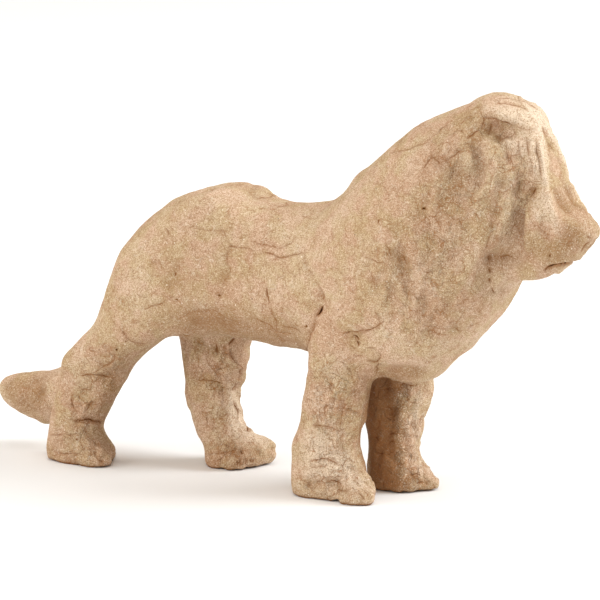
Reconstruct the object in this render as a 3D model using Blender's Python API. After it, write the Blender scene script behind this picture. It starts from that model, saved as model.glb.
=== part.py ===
# A standing lion moulded in papier-mache, in one piece, on four paws.
# The lion faces +X, its left side is +Y and it stands on the plane Z = 0.
import math

import bmesh
import bpy
import numpy as np
from mathutils import Matrix, Vector

# Driving size, in metres. Every station below is drawn in millimetres for a lion of DRAWN_HEIGHT.
HEIGHT = 0.1043
DRAWN_HEIGHT = 104.3
UNIT = HEIGHT / DRAWN_HEIGHT

# Sizes that are set by themselves, in drawn millimetres.
TRUNK_HALF_WIDTH = 16.5
MANE_HALF_WIDTH = 20.5
FACE_HALF_WIDTH = 8.8
LEG_HALF_WIDTH = 7.3
LEG_GAP = 1.0  # between the inner sides of the left and right legs, where a leg is full width
TUFT_RADIUS = 6.6  # of the brush at the end of the tail

# How finely the form is built.
RING_POINTS = 40
ROWS_PER_GAP = 4  # rings from one station to the next
VOXEL = 1.1
SMOOTH_ROUNDS = 5
SMOOTH_FACTOR = 0.5
MOST_TRIANGLES = 9700

KRAFT_COLOUR = (0.56, 0.36, 0.22, 1.0)
KRAFT_ROUGHNESS = 0.85

HALF_TRACK = LEG_GAP / 2 + LEG_HALF_WIDTH  # from the middle plane to a leg's centre line
GROUND = -0.7  # drawn height at which the soles are cut flat
TOE_MIDDLE = 0.2  # how far up a toe is widest, as a share of its height

# Trunk and mane in sections across X: x, top, bottom, half width as a share of the named half
# width, and how square the section is (2 is an oval).
TRUNK = [
    (-52.8, 49.2, 42.0, 0.38, 2.0),
    (-50.4, 54.4, 38.5, 0.62, 2.1),
    (-46.2, 60.2, 36.5, 0.81, 2.2),
    (-41.0, 65.2, 35.5, 0.93, 2.4),
    (-34.0, 70.2, 35.0, 1.00, 2.7),
    (-26.0, 73.5, 35.0, 1.00, 3.1),
    (-18.0, 74.5, 35.9, 0.97, 3.0),
    (-9.0, 71.6, 35.1, 0.93, 2.5),
    (0.0, 71.3, 33.7, 0.94, 2.2),
    (7.0, 72.4, 33.2, 1.02, 2.1),
    (14.0, 73.6, 32.0, 1.08, 2.1),
]
MANE = [
    (8.0, 70.0, 40.0, 0.62, 2.0),
    (11.6, 73.7, 35.5, 0.82, 2.0),
    (15.2, 77.4, 32.5, 0.90, 2.0),
    (22.0, 83.5, 30.2, 0.96, 2.0),
    (30.0, 90.8, 28.8, 1.00, 2.0),
    (37.5, 96.0, 29.3, 0.99, 2.1),
    (44.0, 99.0, 34.6, 0.94, 2.2),
    (50.0, 101.0, 40.5, 0.86, 2.5),
    (55.5, 101.0, 47.2, 0.78, 2.7),
    (60.0, 99.0, 54.3, 0.66, 2.5),
    (63.6, 95.6, 60.6, 0.57, 2.4),
    (66.2, 90.0, 66.6, 0.46, 2.4),
]
# Face and crown in level sections: z, back, front, half width as a share of FACE_HALF_WIDTH, and
# how square the section is.
FACE = [
    (58.4, 52.0, 68.6, 0.66, 2.4),
    (59.6, 50.0, 71.8, 0.80, 2.6),
    (62.0, 48.0, 75.0, 0.90, 2.9),
    (64.8, 46.0, 78.2, 0.92, 3.0),
    (67.4, 46.0, 80.6, 0.88, 3.0),
    (69.8, 46.0, 82.6, 0.86, 2.9),
    (71.8, 46.0, 82.9, 0.90, 3.0),
    (73.8, 46.0, 81.2, 0.96, 3.2),
    (76.2, 46.0, 78.6, 1.00, 3.4),
    (79.2, 46.0, 75.6, 1.02, 3.5),
    (82.6, 46.0, 73.6, 1.02, 3.4),
    (86.4, 46.0, 72.8, 1.00, 3.2),
    (91.0, 46.0, 71.1, 0.96, 3.0),
    (95.6, 46.0, 69.0, 0.92, 2.8),
    (98.6, 48.0, 66.4, 0.86, 2.6),
]
CROWN = [
    (95.4, 50.0, 67.0, 0.84, 2.6),
    (96.8, 50.0, 68.4, 1.02, 2.6),
    (98.6, 49.0, 67.4, 1.10, 2.4),
    (100.4, 49.0, 65.4, 0.96, 2.3),
    (101.9, 50.0, 63.6, 0.76, 2.1),
    (103.0, 52.0, 61.6, 0.50, 2.0),
    (103.6, 54.4, 59.4, 0.28, 2.0),
]
# Legs in level sections: x, z, half length, half width as a share of LEG_HALF_WIDTH, how far the
# section stands out from its centre line, how far it is turned inwards in degrees, and how square
# it is.
RIGHT_FORELEG = [
    (15.0, 60.0, 11.0, 1.10, 0.0, 0, 2.2),
    (16.8, 44.0, 10.0, 1.10, 1.2, 0, 2.3),
    (17.6, 36.0, 8.0, 1.06, 1.0, 0, 2.4),
    (16.5, 27.0, 8.1, 1.00, 0.8, 0, 2.4),
    (14.5, 19.0, 7.9, 0.94, 0.6, 2, 2.4),
    (13.0, 13.5, 8.2, 0.94, 0.5, 4, 2.5),
    (13.1, 8.5, 9.1, 0.94, 0.6, 6, 2.7),
    (13.8, 4.6, 9.9, 0.94, 0.8, 6, 2.9),
    (14.0, 1.6, 10.2, 0.92, 0.9, 6, 2.8),
    (14.0, -2.2, 9.6, 0.88, 0.8, 6, 2.7),
]
LEFT_FORELEG = [
    (21.0, 58.0, 11.0, 1.10, 0.0, 0, 2.2),
    (25.0, 42.0, 10.2, 1.06, 0.6, 0, 2.3),
    (24.2, 31.0, 9.4, 0.98, 0.4, 0, 2.3),
    (24.0, 23.5, 9.2, 0.92, 0.2, 4, 2.3),
    (24.1, 17.0, 7.0, 0.88, 0.0, 8, 2.3),
    (23.7, 11.5, 6.4, 0.86, -0.2, 14, 2.4),
    (23.4, 7.2, 6.7, 0.90, 0.0, 18, 2.6),
    (24.2, 3.8, 8.6, 0.90, 0.5, 21, 2.8),
    (24.4, 1.4, 9.0, 0.88, 0.7, 21, 2.8),
    (24.2, -2.2, 8.4, 0.84, 0.6, 21, 2.7),
]
RIGHT_HINDLEG = [
    (-32.5, 58.0, 14.4, 1.12, 0.0, 0, 2.2),
    (-37.5, 46.0, 13.8, 1.12, 1.0, 0, 2.3),
    (-43.0, 37.0, 12.0, 1.06, 0.8, 0, 2.3),
    (-49.6, 31.5, 10.9, 1.02, 0.6, 0, 2.3),
    (-54.8, 25.6, 10.0, 0.98, 0.5, 0, 2.3),
    (-58.2, 18.5, 9.0, 0.92, 0.4, 0, 2.3),
    (-61.3, 12.0, 7.5, 0.90, 0.4, 0, 2.4),
    (-62.6, 7.6, 6.8, 0.94, 0.3, 2, 2.6),
    (-61.2, 3.8, 8.8, 0.98, 0.2, 4, 2.9),
    (-61.0, 1.4, 9.2, 0.98, 0.2, 4, 3.0),
    (-61.0, -2.2, 8.6, 0.92, 0.0, 4, 2.8),
]
LEFT_HINDLEG = [
    (-24.0, 58.0, 14.0, 1.12, 0.0, 0, 2.2),
    (-26.4, 44.0, 12.6, 1.08, 0.6, 0, 2.3),
    (-29.0, 34.0, 10.8, 1.02, 0.4, 0, 2.3),
    (-29.9, 26.5, 8.9, 0.94, 0.2, 2, 2.3),
    (-30.8, 19.0, 7.9, 0.88, 0.0, 4, 2.3),
    (-29.6, 12.6, 6.6, 0.86, -0.2, 8, 2.4),
    (-26.1, 8.2, 6.8, 0.92, -0.5, 12, 2.6),
    (-23.8, 4.8, 7.4, 0.98, -0.8, 14, 2.8),
    (-22.9, 2.0, 7.5, 1.00, -1.0, 14, 2.9),
    (-22.9, -2.2, 6.9, 0.94, -1.0, 14, 2.7),
]
# Toes, paw by paw: how far forward each reaches, its side (-1 is right), its place outwards from the
# leg's centre line as a share of LEG_HALF_WIDTH, its half width and its height. A toe is TOE_STRETCH
# times as long as it is wide.
TOE_STRETCH = 1.9
TOES = [
    (29.0, -1, 0.62, 3.7, 6.2),
    (26.8, -1, 0.05, 3.8, 7.6),
    (22.6, -1, -0.30, 2.9, 7.0),
    (30.4, 1, -0.66, 3.2, 6.0),
    (34.2, 1, -0.22, 3.6, 6.5),
    (35.6, 1, 0.25, 3.5, 5.4),
    (-48.4, -1, 0.63, 3.4, 6.2),
    (-50.6, -1, 0.05, 3.6, 6.4),
    (-53.4, -1, -0.49, 3.3, 6.8),
    (-16.6, 1, -0.71, 3.5, 6.2),
    (-14.4, 1, -0.11, 3.7, 7.8),
    (-13.4, 1, 0.47, 3.5, 7.4),
]
# Tail along its own line in the middle plane: x, z and radius; its brush takes shares of TUFT_RADIUS.
TAIL = [
    (-42.0, 58.0, 5.0),
    (-48.0, 50.0, 4.6),
    (-53.0, 40.0, 4.2),
    (-58.5, 30.0, 4.6),
    (-64.0, 21.4, TUFT_RADIUS * 0.80),
    (-70.5, 14.3, TUFT_RADIUS * 1.09),
    (-78.0, 12.7, TUFT_RADIUS * 1.03),
    (-85.2, 13.1, TUFT_RADIUS * 0.82),
    (-90.2, 13.2, TUFT_RADIUS * 0.50),
]
# Carving on the drawn lion: depth (less than 0 is a ridge), radius, and the path that it follows on
# the right side, with y as a share of the half width of the face, the mane or the trunk. Every
# stroke is repeated on the left side.
FACE_CARVING = [
    (0.7, 1.7, [(68.4, 0.0, 96.0), (71.0, 0.0, 90.0), (73.4, 0.0, 82.5)]),  # furrow down the brow
    (0.5, 2.8, [(74.4, 0.0, 81.0), (77.0, 0.0, 78.4)]),  # saddle between brow and nose
    (-0.5, 1.7, [(70.4, -0.909, 81.6), (73.2, -0.932, 78.4), (77.6, -0.864, 74.4)]),  # edge of the muzzle
    (1.5, 2.0, [(70.4, -0.977, 83.0), (68.8, -1.000, 80.0)]),  # eye socket
    (-0.8, 2.4, [(70.0, -1.068, 77.4), (70.2, -1.045, 70.0)]),  # cheek bone
    (0.8, 1.3, [(72.2, -0.818, 61.9), (76.6, -0.750, 63.6), (80.4, -0.409, 65.0)]),  # mouth
    (1.8, 2.2, [(66.8, -1.182, 80.5), (66.8, -1.205, 74.0), (66.0, -1.182, 68.0)]),  # groove behind it
    (1.5, 2.2, [(58.0, -1.182, 97.0), (63.2, -1.091, 95.4)]),  # temple, under the rim of the crown
]
MANE_CARVING = [
    (1.4, 2.4, [(66.5, -0.439, 65.0), (60.5, -0.615, 65.0)]),  # hollow under the jaw
    (1.0, 1.9, [(60.6, -0.615, 64.5), (60.0, -0.488, 56.0)]),  # crease that runs down from it
    (-0.5, 1.6, [(64.8, -0.517, 86.0), (64.4, -0.546, 79.4), (63.8, -0.576, 74.6)]),
    (0.6, 1.7, [(62.4, -0.624, 82.0), (62.4, -0.644, 77.0), (62.0, -0.644, 72.4)]),
    (-0.6, 2.1, [(61.0, -0.595, 89.0), (60.2, -0.678, 81.5), (58.8, -0.712, 74.0), (57.6, -0.702, 66.6)]),
    (-0.6, 2.1, [(57.6, -0.702, 66.6), (55.6, -0.732, 61.4), (49.1, -0.810, 55.3)]),
    (0.7, 2.2, [(56.4, -0.624, 92.0), (58.2, -0.673, 87.0), (57.2, -0.722, 82.0), (54.6, -0.790, 76.6)]),
    (0.7, 2.2, [(52.6, -0.771, 86.4), (51.6, -0.820, 82.0)]),
    (-0.8, 2.8, [(48.2, -0.654, 92.4), (51.4, -0.654, 92.2)]),  # ear
    (0.6, 1.6, [(44.0, -0.790, 86.2), (45.8, -0.741, 89.0), (51.2, -0.741, 88.4)]),  # lower edge of it
    (0.6, 1.6, [(53.6, -0.615, 93.6), (56.9, -0.507, 97.4)]),  # fold in front of it
    (0.5, 2.4, [(45.6, -0.907, 77.0), (48.6, -0.898, 69.4)]),
    (0.8, 2.4, [(39.4, -0.985, 68.0), (40.4, -0.985, 64.6), (44.0, -0.898, 55.0)]),  # behind the mane
    (0.6, 1.6, [(37.2, -0.985, 60.0), (37.8, -0.976, 55.8)]),
]
BODY_CARVING = [
    (0.6, 1.7, [(10.2, -0.921, 63.2), (17.4, -1.139, 53.6), (17.8, -1.133, 51.0)]),  # shoulder seam
    (0.6, 1.7, [(17.8, -1.133, 51.0), (14.4, -1.042, 45.8), (12.4, -0.982, 40.0)]),
    (0.7, 1.7, [(23.6, -1.030, 42.8), (27.0, -1.006, 41.6)]),  # fold over the foreleg
    (0.6, 1.6, [(31.0, -0.970, 40.4), (32.0, -0.836, 37.0), (29.2, -0.703, 34.2)]),
    (0.6, 3.2, [(-11.8, -0.933, 62.0), (-12.4, -0.958, 50.0)]),  # in front of the haunch
    (-0.6, 4.0, [(-30.0, -0.885, 66.5), (-19.0, -0.691, 72.0)]),  # hip
]


def remove_startup_objects():
    for obj in list(bpy.data.objects):
        bpy.data.objects.remove(obj)


def smooth_through(stations):
    """Catmull-Rom curve through rows of numbers, with ROWS_PER_GAP rows for each gap."""
    rows = np.array(stations, float)
    rows = np.vstack([2 * rows[0] - rows[1], rows, 2 * rows[-1] - rows[-2]])
    found = []
    for i in range(1, len(rows) - 2):
        a, b, c, d = rows[i - 1 : i + 3]
        for step in range(ROWS_PER_GAP):
            t = step / ROWS_PER_GAP
            bend = (2 * a - 5 * b + 4 * c - d) * t**2 + (3 * b - a - 3 * c + d) * t**3
            found.append(b + ((c - a) * t + bend) / 2)
    found.append(rows[-2])
    return np.array(found)


def oval(half_across, half_up, power):
    """Points round a superellipse, as pairs; power 2 is an ellipse and more is squarer."""
    pairs = []
    for i in range(RING_POINTS):
        angle = 2 * math.pi * i / RING_POINTS
        c, s = math.cos(angle), math.sin(angle)
        pairs.append(
            (
                half_across * math.copysign(abs(c) ** (2 / power), c),
                half_up * math.copysign(abs(s) ** (2 / power), s),
            )
        )
    return pairs


def sections_across_x(stations, half_width):
    """Rings in planes across X, from top, bottom and half width."""
    rings = []
    for x, top, bottom, share, power in smooth_through(stations):
        middle, half_up = (top + bottom) / 2, (top - bottom) / 2
        rings.append([Vector((x, y, middle + z)) for y, z in oval(half_width * share, half_up, power)])
    return rings


def leg_sections(stations, side):
    """Rings in level planes for a leg: side is -1 for a right leg and 1 for a left one."""
    rings = []
    for x, z, half_length, share, stand_out, turn, power in smooth_through(stations):
        turned = Matrix.Rotation(-side * math.radians(turn), 3, "Z")
        centre = Vector((x, side * (HALF_TRACK + stand_out), z))
        pairs = oval(half_length, LEG_HALF_WIDTH * share, power)
        rings.append([centre + turned @ Vector((along, across, 0)) for along, across in pairs])
    return rings


def head_sections(stations):
    """Rings in level planes for the face or the crown, from inside the mane to the front."""
    rings = []
    for z, back, front, share, power in smooth_through(stations):
        middle, half_length = (front + back) / 2, (front - back) / 2
        pairs = oval(half_length, FACE_HALF_WIDTH * share, power)
        rings.append([Vector((middle + along, across, z)) for along, across in pairs])
    return rings


def rings_along(stations):
    """Round rings across a line in the middle plane, each square to the line."""
    rows = smooth_through(stations)
    rings = []
    for i, (x, z, radius) in enumerate(rows):
        before, after = rows[max(i - 1, 0)], rows[min(i + 1, len(rows) - 1)]
        along = Vector((after[0] - before[0], 0, after[1] - before[1])).normalized()
        up = along.cross(Vector((0, 1, 0)))
        rings.append([Vector((x, 0, z)) + Vector((0, a, 0)) + up * b for a, b in oval(radius, radius, 2)])
    return rings


def skin(bm, rings):
    """One closed shell over a run of rings, with a cap at each end."""
    made = []
    for ring in rings:
        verts = [bm.verts.new(p * UNIT) for p in ring]
        edges = [bm.edges.new((verts[i], verts[(i + 1) % len(verts)])) for i in range(len(verts))]
        made.append((verts, edges))
    for (_, first), (_, second) in zip(made, made[1:]):
        bmesh.ops.bridge_loops(bm, edges=first + second)
    for verts, _ in (made[0], made[-1]):
        bm.faces.new(verts)


def shells():
    """Every mass of the lion as overlapping closed shells in one mesh."""
    bm = bmesh.new()
    skin(bm, sections_across_x(TRUNK, TRUNK_HALF_WIDTH))
    skin(bm, sections_across_x(MANE, MANE_HALF_WIDTH))
    skin(bm, head_sections(FACE))
    skin(bm, head_sections(CROWN))
    skin(bm, leg_sections(RIGHT_FORELEG, -1))
    skin(bm, leg_sections(LEFT_FORELEG, 1))
    skin(bm, leg_sections(RIGHT_HINDLEG, -1))
    skin(bm, leg_sections(LEFT_HINDLEG, 1))
    skin(bm, rings_along(TAIL))
    for front, side, share, half_width, height in TOES:
        half_length = half_width * TOE_STRETCH
        y = side * (HALF_TRACK + share * LEG_HALF_WIDTH)
        place = Matrix.Translation((front - half_length, y, height * TOE_MIDDLE))
        shape = Matrix.Diagonal((half_length, half_width, height * (1 - TOE_MIDDLE), 1))
        bmesh.ops.create_icosphere(bm, subdivisions=3, radius=1, matrix=Matrix.Scale(UNIT, 4) @ place @ shape)
    bmesh.ops.recalc_face_normals(bm, faces=bm.faces)
    mesh = bpy.data.meshes.new("lion")
    bm.to_mesh(mesh)
    bm.free()
    return mesh


def apply(obj, kind, **settings):
    modifier = obj.modifiers.new(kind.title(), kind)
    for name, value in settings.items():
        setattr(modifier, name, value)
    graph = bpy.context.evaluated_depsgraph_get()
    mesh = bpy.data.meshes.new_from_object(obj.evaluated_get(graph))
    obj.modifiers.clear()
    obj.data = mesh


def gap_to_stroke(points, path):
    """Distance of every point from the nearest stretch of a path."""
    nearest = np.full(len(points), np.inf)
    for start, end in zip(path, path[1:]):
        span = end - start
        along = np.clip((points - start) @ span / (span @ span), 0, 1)
        nearest = np.minimum(nearest, np.linalg.norm(points - start - along[:, None] * span, axis=1))
    return nearest


def carve(obj, strokes, half_width):
    """Presses hollows into the skin and raises ridges on it, along its own normals."""
    mesh = obj.data
    points = np.empty(len(mesh.vertices) * 3)
    mesh.vertices.foreach_get("co", points)
    points = points.reshape(-1, 3)
    normals = np.array([v.normal[:] for v in mesh.vertices])
    pressed = np.zeros(len(points))
    for depth, radius, path in strokes:
        gaps = [gap_to_stroke(points / UNIT, np.array(path) * (1, side * half_width, 1)) for side in (1, -1)]
        pressed += depth * np.exp(-((np.minimum(*gaps) / radius) ** 2))
    points -= normals * pressed[:, None] * UNIT
    mesh.vertices.foreach_set("co", points.ravel())
    mesh.update()


def cut_soles_flat(obj):
    """Takes off what lies under the ground and closes each paw with a flat sole."""
    bm = bmesh.new()
    bm.from_mesh(obj.data)
    geometry = bm.verts[:] + bm.edges[:] + bm.faces[:]
    ground = (0, 0, GROUND * UNIT)
    bmesh.ops.bisect_plane(bm, geom=geometry, plane_co=ground, plane_no=(0, 0, -1), clear_outer=True)
    bmesh.ops.holes_fill(bm, edges=[e for e in bm.edges if e.is_boundary])
    bmesh.ops.recalc_face_normals(bm, faces=bm.faces)
    bm.to_mesh(obj.data)
    bm.free()


def stand_on_origin(obj):
    """Moves the mesh so that the middle of its box is over the origin and its soles are at Z = 0."""
    corners = [Vector(c) for c in obj.bound_box]
    low = Vector(map(min, zip(*corners)))
    high = Vector(map(max, zip(*corners)))
    obj.data.transform(Matrix.Translation((-(low.x + high.x) / 2, -(low.y + high.y) / 2, -low.z)))


def kraft_paper():
    material = bpy.data.materials.new("kraft_paper")
    material.use_nodes = True
    shader = material.node_tree.nodes["Principled BSDF"]
    shader.inputs["Base Color"].default_value = KRAFT_COLOUR
    shader.inputs["Roughness"].default_value = KRAFT_ROUGHNESS
    shader.inputs["Metallic"].default_value = 0
    return material


def main():
    remove_startup_objects()
    lion = bpy.data.objects.new("lion", shells())
    bpy.context.collection.objects.link(lion)
    apply(lion, "REMESH", mode="VOXEL", voxel_size=VOXEL * UNIT)
    apply(lion, "SMOOTH", factor=SMOOTH_FACTOR, iterations=SMOOTH_ROUNDS)
    carve(lion, FACE_CARVING, FACE_HALF_WIDTH)
    carve(lion, MANE_CARVING, MANE_HALF_WIDTH)
    carve(lion, BODY_CARVING, TRUNK_HALF_WIDTH)
    apply(lion, "SMOOTH", factor=SMOOTH_FACTOR, iterations=1)
    faces = sum(len(p.vertices) - 2 for p in lion.data.polygons)
    apply(lion, "DECIMATE", ratio=MOST_TRIANGLES / faces)
    cut_soles_flat(lion)
    stand_on_origin(lion)
    lion.data.materials.clear()
    lion.data.materials.append(kraft_paper())
    lion.data.shade_smooth()


main()
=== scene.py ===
import math

import bmesh
import bpy
import numpy as np
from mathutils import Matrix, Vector, noise
from mathutils.bvhtree import BVHTree


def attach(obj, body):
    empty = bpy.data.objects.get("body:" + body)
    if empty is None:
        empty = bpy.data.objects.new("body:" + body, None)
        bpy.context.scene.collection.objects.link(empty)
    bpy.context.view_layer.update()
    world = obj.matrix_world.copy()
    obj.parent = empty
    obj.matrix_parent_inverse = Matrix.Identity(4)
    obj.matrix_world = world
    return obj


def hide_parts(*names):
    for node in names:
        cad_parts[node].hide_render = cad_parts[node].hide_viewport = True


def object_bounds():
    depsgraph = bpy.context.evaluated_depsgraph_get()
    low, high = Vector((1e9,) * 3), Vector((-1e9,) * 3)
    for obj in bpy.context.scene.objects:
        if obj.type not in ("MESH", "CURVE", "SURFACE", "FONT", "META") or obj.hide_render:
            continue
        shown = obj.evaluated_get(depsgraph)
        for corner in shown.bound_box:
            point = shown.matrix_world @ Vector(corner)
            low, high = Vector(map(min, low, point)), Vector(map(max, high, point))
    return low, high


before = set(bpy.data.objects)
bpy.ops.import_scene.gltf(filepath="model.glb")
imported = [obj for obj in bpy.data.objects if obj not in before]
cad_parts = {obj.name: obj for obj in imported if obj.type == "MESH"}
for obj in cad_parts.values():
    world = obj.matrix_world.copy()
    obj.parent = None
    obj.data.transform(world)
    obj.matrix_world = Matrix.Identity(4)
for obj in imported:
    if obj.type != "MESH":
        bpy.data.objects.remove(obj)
cadLow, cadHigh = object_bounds()

millimetre = 0.001

cameraLook = {
    "azimuth": 30.0,  # degrees round from the lion's right side towards its face
    "elevation": 11.5,  # degrees
    "distance": 1.0,  # metres
    "target": (0.0037, 0.0006, 0.0470),  # what lies at the middle of the photograph
    "photoSide": 600,  # pixels
    "focalPixels": 3950.0,
    "sensor": 36.0,  # mm
    "farthest": 20,  # metres
}


def cameraAxes():
    a = math.radians(cameraLook["azimuth"])
    e = math.radians(cameraLook["elevation"])
    back = Vector((math.sin(a) * math.cos(e), -math.cos(a) * math.cos(e), math.sin(e)))
    right = Vector((math.cos(a), math.sin(a), 0))
    return right, back.cross(right), back


def makeCamera():
    target = Vector(cameraLook["target"])
    back = cameraAxes()[2]
    bpy.ops.object.camera_add(location=target + back * cameraLook["distance"])
    camera = bpy.context.object
    camera.name = "photoCamera"
    camera.rotation_euler = back.to_track_quat("Z", "Y").to_euler()
    camera.data.sensor_width = cameraLook["sensor"]
    camera.data.lens = cameraLook["focalPixels"] * cameraLook["sensor"] / cameraLook["photoSide"]
    camera.data.clip_end = cameraLook["farthest"]
    bpy.context.scene.camera = camera
    print("camera placed")


def photoRay(u, v):  # where a pixel of the photograph looks from, and along what line
    right, up, back = cameraAxes()
    half, focal = cameraLook["photoSide"] / 2, cameraLook["focalPixels"]
    aim = right * (u - half) / focal + up * (half - v) / focal - back
    return Vector(cameraLook["target"]) + back * cameraLook["distance"], aim.normalized()


bodyForm = {
    "seed": 2,  # of all the unevenness
    "weld": 0.01,  # mm, points closer than this become one
    "voxel": 0.86,  # mm
    "smoothRounds": 6,
    "smoothing": 0.5,  # how far each round goes
    "swell": -0.10,  # mm, evens out what remeshing and smoothing do to the size
    "lumps": (0.18, 15.0),  # height and size of each kind of unevenness, mm
    "dents": (0.10, 6.5),
    "folds": (1.25, 6.0),  # crumpled paper, where an area below asks for it
    "fineFolds": (0.75, 3.2),
    "foldBend": (1.2, 9.0),  # how far the folds wander, and over how many mm
    "ridgesToFolds": 1.3,  # how much closer the ridges lie than the valleys
    "noiseShifts": ((9, 4, 2), (31, 5, 8), (7, 19, 3)),  # for dents, ridges and fine folds
    "hairWay": (-0.30, 0.0, -0.95),  # the folds run along this
    "hairStretch": 0.45,
    "plainRough": 0.16,  # how crumpled the rest is
    "raiseHeights": (12, 4),  # mm above the ground, where lifting a paw starts and is full
}

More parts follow.
